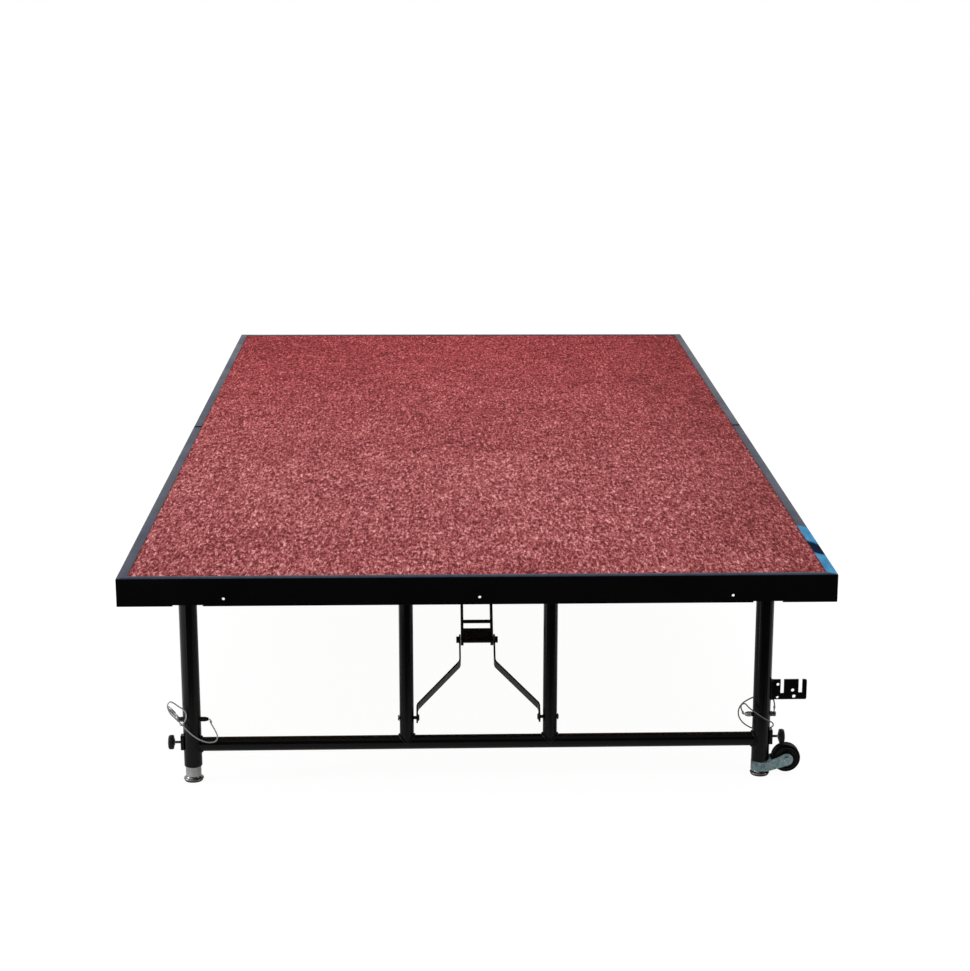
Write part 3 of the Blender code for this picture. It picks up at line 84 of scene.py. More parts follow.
WHEEL_HALF = 0.011
STRAP_CHEEK_Y = 0.0164

IMAGE_WIDTH = 970
ENDS = {"front": -1, "rear": 1}
SIDES = {"left": -1, "right": 1}


# Camera at the photograph's viewing angle


def make_camera():
    pitch, yaw, roll, focal = 0.25880766, 0.04894353, 0.00701643, 2149.7967
    level = math.cos(pitch)
    ahead = Vector((math.sin(yaw) * level, math.cos(yaw) * level, -math.sin(pitch)))
    right = Vector((math.cos(yaw), -math.sin(yaw), 0.0))
    up = right.cross(ahead)
    across = right * math.cos(roll) + up * math.sin(roll)
    upward = up * math.cos(roll) - right * math.sin(roll)
    data = bpy.data.cameras.new("camera")
    data.sensor_fit = "HORIZONTAL"
    data.sensor_width = 36.0
    data.lens = focal / IMAGE_WIDTH * data.sensor_width
    data.shift_x = -54.3742 / IMAGE_WIDTH
    data.shift_y = 45.3491 / IMAGE_WIDTH
    data.clip_start = 0.05
    data.clip_end = 200.0
    camera = bpy.data.objects.new("camera", data)
    scene.collection.objects.link(camera)
    place = Matrix((across, upward, -ahead)).transposed().to_4x4()
    place.translation = (-0.07059391, -4.70390501, 1.40963124)
    camera.matrix_world = place
    scene.camera = camera


make_camera()


# Node graphs


class Nodes:
    """Short calls that add nodes to a tree. A value is a constant or another node's output."""

    def __init__(self, tree):
        self.tree = tree
        tree.nodes.clear()

    def put(self, socket, value):
        if isinstance(value, bpy.types.NodeSocket):
            self.tree.links.new(value, socket)
        else:
            socket.default_value = value

    def math(self, operation, a, b=0.0):
        node = self.tree.nodes.new("ShaderNodeMath")
        node.operation = operation
        self.put(node.inputs[0], a)
        self.put(node.inputs[1], b)
        return node.outputs[0]

    def vector_math(self, operation, a, b):
        node = self.tree.nodes.new("ShaderNodeVectorMath")
        node.operation = operation
        self.put(node.inputs[0], a)
        self.put(node.inputs["Scale" if operation == "SCALE" else 1], b)
        return node.outputs["Value" if operation == "DOT_PRODUCT" else "Vector"]

    def span(self, value, low, high, to_low=0.0, to_high=1.0):
        """A smooth step from to_low, where the value is low, to to_high, where it is high."""
        node = self.tree.nodes.new("ShaderNodeMapRange")
        node.interpolation_type = "SMOOTHSTEP"
        self.put(node.inputs["Value"], value)
        for socket, number in zip(node.inputs[1:5], (low, high, to_low, to_high)):
            socket.default_value = number
        return node.outputs[0]

    def along(self, place, direction, start, end, low, high):
        """A smooth step from low to high between two distances along a direction."""
        distance = self.vector_math("DOT_PRODUCT", place, direction)
        return self.span(distance, start, end, low, high)

    def blend(self, share, a, b):
        """The number a where share is 0, and b where it is 1."""
        node = self.tree.nodes.new("ShaderNodeMix")
        for index, value in zip((0, 2, 3), (share, a, b)):
            self.put(node.inputs[index], value)
        return node.outputs[0]

    def rays(self):
        """1 for rays from the camera, and 1 for reflected and refracted rays."""
        path = self.tree.nodes.new("ShaderNodeLightPath").outputs
        mirrored = self.math("MAXIMUM", path["Is Glossy Ray"], path["Is Transmission Ray"])
        return path["Is Camera Ray"], mirrored


class Graph(Nodes):
    """A material's nodes, with short calls for the ones that the finishes use."""

    def __init__(self, name):
        self.material = bpy.data.materials.new(name)
        self.material.use_nodes = True
        super().__init__(self.material.node_tree)
        out = self.tree.nodes.new("ShaderNodeOutputMaterial")
        self.shader = self.tree.nodes.new("ShaderNodeBsdfPrincipled")
        self.tree.links.new(self.shader.outputs[0], out.inputs[0])
        self.place = self.tree.nodes.new("ShaderNodeTexCoord").outputs["Object"]

    def set(self, name, value):
        self.put(self.shader.inputs[name], value)

    def mapped(self, scale=(1, 1, 1), turn=(0, 0, 0)):
        node = self.tree.nodes.new("ShaderNodeMapping")
        self.put(node.inputs["Vector"], self.place)
        node.inputs["Scale"].default_value = scale
        node.inputs["Rotation"].default_value = turn
        return node.outputs[0]

    def noise(self, scale, detail=2.0, rough=0.5, distortion=0.0, vector=None, output=0):
        """Output 0 is a number, and output 1 a colour."""
        node = self.tree.nodes.new("ShaderNodeTexNoise")
        self.put(node.inputs["Vector"], vector or self.place)
        node.inputs["Scale"].default_value = scale
        node.inputs["Detail"].default_value = detail
        node.inputs["Roughness"].default_value = rough
        node.inputs["Distortion"].default_value = distortion
        return node.outputs[output]

    def cells(self, scale, vector):
        node = self.tree.nodes.new("ShaderNodeTexVoronoi")
        self.put(node.inputs["Vector"], vector)
        node.inputs["Scale"].default_value = scale
        return node.outputs["Distance"]

    def bent(self, amount, scale, vector=None):
        """Coordinates pushed about by noise, so that what is drawn with them curls."""
        vector = vector or self.place
        wander = self.noise(scale, 1.0, vector=vector, output=1)
        centred = self.vector_math("SUBTRACT", wander, (0.5, 0.5, 0.5))
        return self.vector_math("ADD", vector, self.vector_math("SCALE", centred, amount))

    def sum(self, *terms):
        """The values added up, each times its own share."""
        total, *others = [self.math("MULTIPLY", value, share) for value, share in terms]
        for term in others:
            total = self.math("ADD", total, term)
        return total

    def split(self):
        node = self.tree.nodes.new("ShaderNodeSeparateXYZ")
        self.put(node.inputs[0], self.place)
        return node.outputs[0], node.outputs[1], node.outputs[2]

    def ramp(self, value, *stops):
        node = self.tree.nodes.new("ShaderNodeValToRGB")
        self.put(node.inputs[0], value)
        ramp = node.color_ramp
        while len(ramp.elements) < len(stops):
            ramp.elements.new(0.5)
        for element, (at, colour) in zip(ramp.elements, stops):
            element.position = at
            element.color = (*colour, 1.0)
        return node.outputs[0]

    def mix(self, share, a, b, blend="MIX"):
        node = self.tree.nodes.new("ShaderNodeMix")
        node.data_type = "RGBA"
        node.blend_type = blend
        self.put(node.inputs[0], share)
        for socket, value in ((node.inputs[6], a), (node.inputs[7], b)):
            self.put(socket, value if isinstance(value, bpy.types.NodeSocket) else (*value, 1.0))
        return node.outputs[2]

    def bump(self, height, distance, strength):
        node = self.tree.nodes.new("ShaderNodeBump")
        self.put(node.inputs["Height"], height)
        node.inputs["Distance"].default_value = distance
        node.inputs["Strength"].default_value = strength
        return node.outputs[0]


# Finishes


def carpet_finish():
    g = Graph("carpet_finish")
    lengthwise = g.mapped((1.0, 0.27, 1.0))
    curled = g.bent(0.0060, 95, lengthwise)
    yarn = g.noise(205, 2.0, 0.62, 0.5, curled)
    ply = g.noise(430, 1.0, 0.5, 0.5, g.bent(0.0040, 170, lengthwise))
    clump = g.noise(88, 1.0, 0.5, 0.6, lengthwise)
    patch = g.math("SUBTRACT", g.noise(26, 2.0, 0.55), 0.5)
    broad = g.math("SUBTRACT", g.noise(3.5, 1.0), 0.5)
    worm = g.noise(150, 0.0, 0.5, 0.4, g.bent(0.0085, 120, lengthwise))
    ridge = g.math("ABSOLUTE", g.math("SUBTRACT", worm, 0.5))
    thread = g.span(ridge, 0.0, 0.030, 1.0, 0.0)
    mixed = g.sum(
        (yarn, 0.60), (ply, 0.28), (clump, 0.12), (patch, 0.09), (broad, 0.05), (thread, 0.055)
    )
    colour = g.ramp(
        mixed,
        (0.395, (0.084, 0.0070, 0.0108)),
        (0.462, (0.200, 0.0240, 0.0278)),
        (0.512, (0.334, 0.067, 0.071)),
        (0.568, (0.482, 0.142, 0.143)),
        (0.655, (0.800, 0.413, 0.398)),
    )
    # Painted shade: the pile is darkened to a deeper red towards the rear, and darkened along the
    # right edge.
    x, y, _ = g.split()
    darker_rear = g.mix(1.0, colour, (0.90, 0.45, 0.49), "MULTIPLY")
    rear_shaded = g.mix(g.span(y, -0.95, 1.35), colour, darker_rear)
    right_shaded = g.mix(1.0, rear_shaded, (0.78, 0.64, 0.64), "MULTIPLY")
    g.set("Base Color", g.mix(g.span(x, 0.34, 0.57), rear_shaded, right_shaded))
    g.set("Roughness", 0.95)
    g.set("Specular IOR Level", 0.12)
    g.set("Sheen Weight", 0.05)
    g.set("Sheen Roughness", 0.6)
    g.set("Sheen Tint", (0.9, 0.5, 0.5, 1.0))
    g.set("Normal", g.bump(g.sum((yarn, 0.7), (ply, 0.4)), 0.0020, 0.7))
    return g.material


def black_paint(name, roughness, specular, peel=0.00004, base=0.0011):
    """Powder coat: near black, with the soft ripple and the odd speck of a sprayed finish."""
    g = Graph(name)
    ripple = g.noise(420, 2.0, 0.5)
    cloud = g.noise(9, 3.0, 0.6)
    speck = g.span(g.noise(900, 0.0, 0.5), 0.72, 0.80)
    dark, light = (0.8, 0.8, 0.85), (1.5, 1.5, 1.6)
    colour = g.mix(cloud, [base * c for c in dark], [base * c for c in light])
    colour = g.mix(g.math("MULTIPLY", speck, 0.4), colour, (0.012, 0.012, 0.012))
    g.set("Base Color", colour)
    g.set("Roughness", g.span(cloud, 0.3, 0.7, roughness * 0.85, roughness * 1.15))
    g.set("Specular IOR Level", specular)
    g.set("Normal", g.bump(ripple, peel, 0.5))
    return g


def rail_finish(name, blue_reflection=False):
    """Black powder coat, with a painted sheen: the flange's flat top is coloured a dark slate blue
    in place of its grazing reflection.

    The blue is a painted reflection on the flange's top near the front corner, with a navy patch of
    painted dark reflection in its middle.
    """
    g = black_paint(name, 0.31, 0.05, base=0.0020)
    x, y, z = g.split()
    top = g.span(z, DECK_TOP - 0.0011, DECK_TOP - 0.0003)
    # Painted sheen on the flange's flat top: a mottled dark slate blue.
    sheen_mottle = g.noise(14, 3.0, 0.6, 0.0, g.mapped((6.0, 0.35, 1.0)))
    grain = g.noise(700, 2.0, 0.6)
    painted_sheen = g.ramp(sheen_mottle, (0.35, (0.003, 0.008, 0.026)), (0.65, (0.010, 0.020, 0.054)))
    painted_sheen = g.mix(g.span(grain, 0.35, 0.7, 0.0, 0.25), painted_sheen, (0.005, 0.008, 0.018))
    seam = g.span(g.math("ABSOLUTE", y), 0.0045, 0.0080, 1.0, 0.0)
    rough = g.shader.inputs["Roughness"].links[0].from_socket
    black = g.shader.inputs["Base Color"].links[0].from_socket
    colour = g.mix(top, black, painted_sheen)
    # Painted reflection: a blue patch on the flange's top near the front right corner, darker navy
    # in its middle.
    if blue_reflection:
        wavy = g.math("ADD", y, g.math("MULTIPLY", g.noise(30, 1.0), 0.02))
        slant = g.math("ADD", wavy, g.math("MULTIPLY", g.math("SUBTRACT", x, 0.6), 1.6))
        start = g.span(slant, -0.895, -0.875, 1.0, 0.0)
        opens = g.span(slant, -1.085, -1.065)
        dark_reflection = g.math("MULTIPLY", opens, g.span(slant, -1.010, -0.985, 1.0, 0.0))
        blue = g.ramp(
            g.noise(40, 2.0, 0.5, 0.0, g.mapped((3.0, 0.6, 1.0))),
            (0.3, (0.030, 0.190, 0.370)),
            (0.7, (0.065, 0.300, 0.520)),
        )
        blue = g.mix(dark_reflection, blue, (0.000, 0.008, 0.030))
        reflected_area = g.math("MULTIPLY", top, start)
        colour = g.mix(reflected_area, colour, blue)
        reflection_rough = g.math("MULTIPLY", reflected_area, g.span(dark_reflection, 0.0, 1.0, 0.62, 0.95))
        rough = g.math("MAXIMUM", rough, reflection_rough)
    g.set("Base Color", g.mix(seam, colour, (0.0008, 0.0008, 0.0009)))
    g.set("Roughness", g.math("MAXIMUM", rough, seam))
    return g.material


def metal(name, low, high, roughness, stretch=(1, 1, 1), grain=260):
    g = Graph(name)
    streak = g.noise(grain, 3.0, 0.6, 0.0, g.mapped(stretch))
    cloud = g.noise(35, 3.0, 0.6)
    mean = g.math("MULTIPLY", g.math("ADD", streak, cloud), 0.5)
    g.set("Base Color", g.ramp(mean, (0.35, low), (0.65, high)))
    g.set("Metallic", 1.0)
    g.set("Roughness", g.span(streak, 0.3, 0.7, roughness * 0.8, roughness * 1.25))
    g.set("Normal", g.bump(streak, 0.00002, 0.4))
    return g.material


def rubber_finish():
    g = Graph("wheel_rubber_finish")
    dust = g.noise(120, 4.0, 0.65)
    scuff = g.noise(60, 2.0, 0.5, 1.2)
    colour = g.mix(g.span(dust, 0.5, 0.75), (0.0007, 0.0007, 0.0010), (0.0026, 0.0026, 0.0032))
    colour = g.mix(g.span(scuff, 0.6, 0.75, 0.0, 0.2), colour, (0.02, 0.02, 0.021))
    # Painted highlight: the ring along the tyre's moulding line is coloured lighter, as if catching
    # the light.
    x, _, z = g.split()
    across = g.math("POWER", g.math("SUBTRACT", x, WHEEL_X), 2.0)
    upright = g.math("POWER", g.math("SUBTRACT", z, WHEEL_Z), 2.0)
    radius = g.math("SQRT", g.math("ADD", across, upright))
    off = g.math("ABSOLUTE", g.math("SUBTRACT", radius, 0.0197))
    highlight_ring = g.span(off, 0.0002, 0.0010, 0.55, 0.0)
    g.set("Base Color", g.mix(highlight_ring, colour, (0.050, 0.050, 0.055)))
    g.set("Roughness", g.span(dust, 0.3, 0.7, 0.36, 0.52))
    g.set("Specular IOR Level", 0.07)
    g.set("Normal", g.bump(dust, 0.00008, 0.5))
    return g.material


def plastic_finish():
    g = Graph("black_plastic_finish")
    texture = g.noise(1400, 2.0, 0.5)
    cloud = g.noise(60, 2.0, 0.5)
    g.set("Base Color", g.mix(cloud, (0.0030, 0.0030, 0.0034), (0.007, 0.007, 0.0076)))
    g.set("Roughness", g.span(cloud, 0.3, 0.7, 0.34, 0.46))
    g.set("Specular IOR Level", 0.24)
    g.set("Normal", g.bump(texture, 0.00006, 0.5))
    return g.material


def plywood_finish():
    g = Graph("plywood_finish")
    grain = g.noise(2.2, 4.0, 0.62, 1.4, g.mapped((14.0, 1.0, 14.0)))
    fibre = g.noise(90, 3.0, 0.6, 0.0, g.mapped((6.0, 0.25, 6.0)))
    knots = g.span(g.cells(2.4, g.bent(0.05, 3.0)), 0.02, 0.09, 1.0, 0.0)
    colour = g.ramp(
        g.sum((grain, 0.7), (fibre, 0.3)),
        (0.35, (0.300, 0.190, 0.105)),
        (0.50, (0.450, 0.315, 0.195)),
        (0.66, (0.580, 0.440, 0.300)),
    )
    g.set("Base Color", g.mix(g.math("MULTIPLY", knots, 0.7), colour, (0.15, 0.08, 0.045)))
    g.set("Roughness", 0.78)
    g.set("Specular IOR Level", 0.25)
    g.set("Normal", g.bump(fibre, 0.0004, 0.5))
    return g.material


def wire_finish(name, low, high):
    """Twisted strands of steel wire in a clear plastic sleeve."""
    g = Graph(name)
    strands = g.noise(900, 2.0, 0.5, 0.5, g.mapped(turn=(0.6, 0.5, 0.3)))
    lay = g.noise(60, 2.0, 0.5)
    colour = g.ramp(strands, (0.35, low), (0.65, high))
    g.set("Base Color", g.mix(g.math("MULTIPLY", lay, 0.35), colour, (0.10, 0.10, 0.105)))
    g.set("Metallic", 0.35)
    g.set("Roughness", 0.34)
    g.set("Specular IOR Level", 0.4)
    g.set("Normal", g.bump(strands, 0.0001, 0.6))
    return g.material


CARPET = carpet_finish()
PAINT = black_paint("black_steel_finish", 0.21, 0.21).material
RAIL = rail_finish("rail_finish")
RAIL_WITH_BLUE_REFLECTION = rail_finish("rail_blue_reflection_finish", blue_reflection=True)
ZINC = metal("zinc_finish", (0.24, 0.246, 0.246), (0.56, 0.572, 0.572), 0.36, (1, 1, 0.08))
STRAP_ZINC = metal(
    "strap_zinc_finish", (0.130, 0.200, 0.215), (0.40, 0.520, 0.545), 0.30, grain=140
)
CHROME = metal("chrome_finish", (0.15, 0.15, 0.15), (0.27, 0.27, 0.27), 0.14)
STEEL = metal("pin_steel_finish", (0.12, 0.12, 0.125), (0.26, 0.26, 0.27), 0.3)
FERRULE = metal("ferrule_finish", (0.26, 0.263, 0.267), (0.55, 0.555, 0.56), 0.38, grain=420)
RING = metal("ring_steel_finish", (0.34, 0.345, 0.35), (0.56, 0.565, 0.57), 0.26)
PLASTIC = plastic_finish()
RUBBER = rubber_finish()
PLYWOOD = plywood_finish()
WIRE = wire_finish("wire_finish", (0.33, 0.335, 0.34), (0.60, 0.605, 0.61))
DARK_WIRE = wire_finish("dark_wire_finish", (0.085, 0.087, 0.090), (0.20, 0.202, 0.206))
WELD = black_paint("weld_finish", 0.30, 0.18, 0.0003, 0.0016).material


# Mesh helpers


def add(name, bm, material, body, angle=35):
    bmesh.ops.remove_doubles(bm, verts=bm.verts, dist=1e-7)
    bmesh.ops.recalc_face_normals(bm, faces=bm.faces)
    mesh = bpy.data.meshes.new(name)
    bm.to_mesh(mesh)
    bm.free()
    obj = bpy.data.objects.new(name, mesh)
    scene.collection.objects.link(obj)
    mesh.materials.append(material)
    mesh.shade_smooth()
    mesh.set_sharp_from_angle(angle=math.radians(angle))
    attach(obj, body)
    return obj


def frame_of(direction):
    direction = Vector(direction).normalized()
    side = direction.cross(Vector((0, 0, 1)))
    if side.length < 1e-4:
        side = direction.cross(Vector((0, 1, 0)))
    side.normalize()
    return direction, side, side.cross(direction)


def lathe(bm, origin, direction, profile, segments, flute=None):
    """A profile of (radius, distance along the axis) turned about a line. flute may groove it."""
    ahead, side, up = frame_of(direction)
    origin = Vector(origin)
    rings = []
    for radius, along in profile:
        if radius <= 1e-7:
            rings.append([bm.verts.new(origin + ahead * along)])
            continue
        ring = []
        for i in range(segments):
            angle = 2 * math.pi * i / segments
            r = flute(radius, angle) if flute else radius
            point = origin + ahead * along + (side * math.cos(angle) + up * math.sin(angle)) * r
            ring.append(bm.verts.new(point))
        rings.append(ring)
    pairs = list(zip(rings, rings[1:]))
    if len(rings[0]) > 1 and len(rings[-1]) > 1:
        pairs.append((rings[-1], rings[0]))
    for low, high in pairs:
        for i in range(segments):
            j = (i + 1) % segments
            corners = [low[k % len(low)] for k in (i, j)] + [high[k % len(high)] for k in (j, i)]
            unique = list(dict.fromkeys(corners))
            if len(unique) > 2:
                bm.faces.new(unique)


def turned(name, origin, direction, profile, segments, material, body, angle=35, flute=None):
    bm = bmesh.new()
    lathe(bm, origin, direction, profile, segments, flute)
    return add(name, bm, material, body, angle)


def sweep(bm, path, radius, sides=10, closed=False):
    """A tube along a path. The radius is one number, or one for each point."""
    path = [Vector(p) for p in path]
    count = len(path)
    radii = [radius] * count if isinstance(radius, float) else list(radius)
    tangents = []
    for i in range(count):
        before = path[i - 1] if i or closed else path[0]
        after = path[(i + 1) % count] if i + 1 < count or closed else path[-1]
        tangents.append((after - before).normalized())
    normal = tangents[0].cross(Vector((0.31, 0.22, 0.93))).normalized()
    normals = []
    for tangent in tangents:
        normal = (normal - tangent * normal.dot(tangent)).normalized()
        normals.append(normal)
    rings = []
    for point, tangent, normal, r in zip(path, tangents, normals, radii):
        other = tangent.cross(normal)
        ring = []
        for j in range(sides):
            angle = 2 * math.pi * j / sides
            spoke = (normal * math.cos(angle) + other * math.sin(angle)) * r
            ring.append(bm.verts.new(point + spoke))
        rings.append(ring)
    pairs = list(zip(rings, rings[1:]))
    if closed:
        start, last = rings[0][0].co, rings[-1]
        shift = min(range(sides), key=lambda k: (last[k].co - start).length)
        pairs.append((last[shift:] + last[:shift], rings[0]))
    for low, high in pairs:
        for j in range(sides):
            k = (j + 1) % sides
            bm.faces.new((low[j], low[k], high[k], high[j]))
    if not closed:
        bm.faces.new(rings[0])
        bm.faces.new(rings[-1])


def rounded(corners, radii, steps):
    """A closed outline with its corners rounded, each by its own radius."""
    points = []
    count = len(corners)
    for i, radius in enumerate(radii):
        corner = Vector(corners[i])
        before = Vector(corners[i - 1]) - corner
        after = Vector(corners[(i + 1) % count]) - corner
        if radius <= 0:
            points.append(tuple(corner))
            continue
        a, b = before.normalized(), after.normalized()
        half = a.angle(b) / 2
        cut = min(radius / math.tan(half), before.length * 0.45, after.length * 0.45)
        r = cut * math.tan(half)
        centre = corner + (a + b).normalized() * (r / math.sin(half))
        start = corner + a * cut - centre
        end = corner + b * cut - centre
        turn = math.atan2(start.x * end.y - start.y * end.x, start.dot(end))
        for k in range(steps + 1):
            c, s = math.cos(turn * k / steps), math.sin(turn * k / steps)
            x, y = c * start.x - s * start.y, s * start.x + c * start.y
            points.append((centre.x + x, centre.y + y))
    return points


def cut_with(obj, cutters):
    """Cuts closed meshes out of a piece and keeps the result as its own mesh."""
    for cutter in cutters:
        modifier = obj.modifiers.new("cut", "BOOLEAN")
        modifier.operation = "DIFFERENCE"
        modifier.solver = "EXACT"
        modifier.object = cutter
    bpy.context.view_layer.update()
    evaluated = obj.evaluated_get(bpy.context.evaluated_depsgraph_get())
    mesh = bpy.data.meshes.new_from_object(evaluated)
    obj.modifiers.clear()
    obj.data = mesh
    for cutter in cutters:
        bpy.data.objects.remove(cutter, do_unlink=True)
    mesh.shade_smooth()
    mesh.set_sharp_from_angle(angle=math.radians(35))


def solid(name, bm):
    bmesh.ops.recalc_face_normals(bm, faces=bm.faces)
    mesh = bpy.data.meshes.new(name)
    bm.to_mesh(mesh)
    bm.free()
    obj = bpy.data.objects.new(name, mesh)
    scene.collection.objects.link(obj)
    return obj


def block(name, low, high):
    bm = bmesh.new()
    bmesh.ops.create_cube(bm, size=1.0)
    for vert in bm.verts:
        vert.co = [start + (c + 0.5) * (end - start) for c, start, end in zip(vert.co, low, high)]
    return solid(name, bm)


# Edge rails with rounded edges. Each end is mitred, butted or open as the part's is.


def rail_profile():
    corners = (
        (0.0, 0.0),
        (FLANGE_WIDTH, 0.0),
        (FLANGE_WIDTH, FLANGE_BOTTOM_H),
        (RAIL_WALL, FLANGE_BOTTOM_H),
        (RAIL_WALL, LEDGE_TOP_H),
        (LEDGE_WIDTH, LEDGE_TOP_H),
        (LEDGE_WIDTH, LEDGE_BOTTOM_H),
        (RAIL_WALL, LEDGE_BOTTOM_H),
        (RAIL_WALL, RAIL_DEPTH - LIP_THICKNESS),
        (LIP_WIDTH, RAIL_DEPTH - LIP_THICKNESS),
        (LIP_WIDTH, RAIL_DEPTH),
        (0.0, RAIL_DEPTH),
    )
    radii = (0.0010, 0.0008, 0.0006, 0.0, 0.0, 0.0005, 0.0005, 0.001, 0.001, 0.0006, 0.0006, 0.0014)
    return rounded(corners, radii, 3)


def rail_piece(name, point_at, low_end, high_end, material, nick_low=0.0):
    """nick_low opens the butt joint a little at the outer edges, as a deburred cut has."""
    bm = bmesh.new()
    stations = [(low_end, 0.0, nick_low)]
    if nick_low:
        stations.append((low_end, nick_low, 0.0))
    stations.append((high_end, 0.0, 0.0))
    rings = []
    for end, forward, inset in stations:
        ring = []
        for d, h in rail_profile():
            dd = d + inset if d < FLANGE_WIDTH / 2 else d - inset
            hh = h + inset if h < RAIL_DEPTH / 2 else h - inset
            ring.append(bm.verts.new(point_at(dd, end(d) + forward, hh)))
        rings.append(ring)
    bm.faces.new(rings[0])
    bm.faces.new(rings[-1])
    for low, high in zip(rings, rings[1:]):
        count = len(low)
        for i in range(count):
            j = (i + 1) % count
            bm.faces.new((low[i], low[j], high[j], high[i]))
    return add(name, bm, material, "deck", 30)


def make_rails():
    for end_name, end in ENDS.items():

        def end_point(d, along, h, end=end):
            return (along, end * (HALF_LENGTH - d), DECK_TOP - h)

        rail = rail_piece(
            "apron_" + end_name, end_point, lambda d: d - HALF_WIDTH, lambda d: HALF_WIDTH - d, RAIL
        )
        cutters = []
        for x in (-HOLE_X, 0.0, HOLE_X):
            bm = bmesh.new()
            start = (x, end * (HALF_LENGTH + 0.004), DECK_TOP - HOLE_H)
            profile = ((0, 0), (HOLE_DIAMETER / 2, 0), (HOLE_DIAMETER / 2, 0.010), (0, 0.010))
            lathe(bm, start, (0, -end, 0), profile, 32)
            cutters.append(solid("apron_cutter", bm))
        # The reliefs over the legs are cut up into the rail's lower edge.
        near, far = sorted((end * (HALF_LENGTH - 0.014), end * (HALF_LENGTH + 0.004)))
        edge = DECK_TOP - RAIL_DEPTH
        for x in (-NOTCH_X, NOTCH_X):
            low = (x - NOTCH_WIDTH / 2, near, edge - 0.004)
            high = (x + NOTCH_WIDTH / 2, far, edge + NOTCH_DEPTH)
            cutters.append(block("apron_cutter", low, high))
        cut_with(rail, cutters)
        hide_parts("end_rail_" + end_name)
        for side_name, side in SIDES.items():

            def side_point(d, along, h, side=side, end=end):
                return (side * (HALF_WIDTH - d), end * along, DECK_TOP - h)

            # The front right rail carries the painted blue reflection.
            blue_reflection = side_name == "right" and end_name == "front"
            rail = rail_piece(
                "edge_rail_%s_%s" % (side_name, end_name),
                side_point,
                lambda d: 0.0002,
                lambda d: HALF_LENGTH - d,
                RAIL_WITH_BLUE_REFLECTION if blue_reflection else RAIL,
                0.0018,
            )
            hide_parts("side_rail_%s_%s" % (side_name, end_name))


make_rails()


# Carpet with real pile relief


def make_carpet():
    low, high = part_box("deck_carpet")
    rng = np.random.default_rng(7)
    nx, ny = 212, 430
    xs = np.linspace(low.x, high.x, nx)
    ys = np.linspace(low.y, high.y, ny)
    gx, gy = np.meshgrid(xs, ys, indexing="ij")
    tuft = rng.normal(0.0, 1.0, (nx, ny))
    soft = (tuft + np.roll(tuft, 1, 0) + np.roll(tuft, 1, 1) + np.roll(tuft, (1, 1), (0, 1))) / 2.2
    lumps = rng.normal(0.0, 1.0, (nx // 4 + 2, ny // 4 + 2))
    ix = np.arange(nx) / 4
    iy = np.arange(ny) / 4
    x0, y0 = ix.astype(int), iy.astype(int)
    fx, fy = (ix - x0)[:, None], (iy - y0)[None, :]
    broad = (
        lumps[np.ix_(x0, y0)] * (1 - fx) * (1 - fy)
        + lumps[np.ix_(x0 + 1, y0)] * fx * (1 - fy)
        + lumps[np.ix_(x0, y0 + 1)] * (1 - fx) * fy
        + lumps[np.ix_(x0 + 1, y0 + 1)] * fx * fy
    )
    height = 0.00042 * tuft + 0.00030 * soft + 0.00022 * broad
    height = np.clip(height, -0.0012, 0.0012)
    edge = np.minimum.reduce([gx - low.x, high.x - gx, gy - low.y, high.y - gy])
    fade = np.clip(edge / 0.006, 0.0, 1.0)
    z = high.z - 0.0003 + np.minimum(height, 0.0006) * (0.4 + 0.6 * fade)
    jitter = 0.0016
    gx += np.where((gx > xs[0]) & (gx < xs[-1]), rng.uniform(-jitter, jitter, gx.shape), 0.0)
    gy += np.where((gy > ys[0]) & (gy < ys[-1]), rng.uniform(-jitter, jitter, gy.shape), 0.0)
    # The yarn swells over the flange's rounding at the sides and is cut ragged at the ends.
    gx[0, :] -= rng.uniform(0.0004, 0.0009, ny)
    gx[-1, :] += rng.uniform(0.0004, 0.0009, ny)
    gy[:, 0] += rng.uniform(-0.0005, 0.0020, nx)
    gy[:, -1] -= rng.uniform(-0.0005, 0.0020, nx)
    verts = np.stack([gx, gy, z], axis=-1).reshape(-1, 3)
    index = np.arange(nx * ny).reshape(nx, ny)
    corners = [index[:-1, :-1], index[1:, :-1], index[1:, 1:], index[:-1, 1:]]
    quads = np.stack(corners, axis=-1).reshape(-1, 4)
    loop = np.concatenate([index[:, 0], index[-1, 1:], index[-2::-1, -1], index[0, -2:0:-1]])
    base = np.array(verts[loop])
    base[:, 2] = low.z
    first = len(verts)
    verts = np.concatenate([verts, base])
    faces = [tuple(int(v) for v in q) for q in quads]
    count = len(loop)
    for i in range(count):
        j = (i + 1) % count
        faces.append((int(loop[j]), int(loop[i]), first + i, first + j))
    faces.append(tuple(first + i for i in reversed(range(count))))
    mesh = bpy.data.meshes.new("carpet_pile")
    mesh.from_pydata([tuple(v) for v in verts], [], faces)
    mesh.materials.append(CARPET)
    mesh.validate()
    mesh.shade_smooth()
    carpet = bpy.data.objects.new("carpet_pile", mesh)
    scene.collection.objects.link(carpet)
    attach(carpet, "deck")
    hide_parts("deck_carpet")


make_carpet()


# Weld beads where the tubes of the leg frames meet

WELD_R = 0.0021
WELD_LIFT = 0.0006


def bead(name, path, radius, body, closed, seed):
    """A welded bead with the ripples of a hand-laid run."""
    rng = np.random.default_rng(seed)
    phase = rng.uniform(0, 6.28)
    radii = []
    for i in range(len(path)):
        ripple = 0.10 * math.sin(i * 2.1 + phase) + rng.uniform(-0.06, 0.06)
        radii.append(radius * (1 + ripple))
    bm = bmesh.new()
    sweep(bm, path, radii, 8, closed)
    piece = add(name, bm, WELD, body, 60)


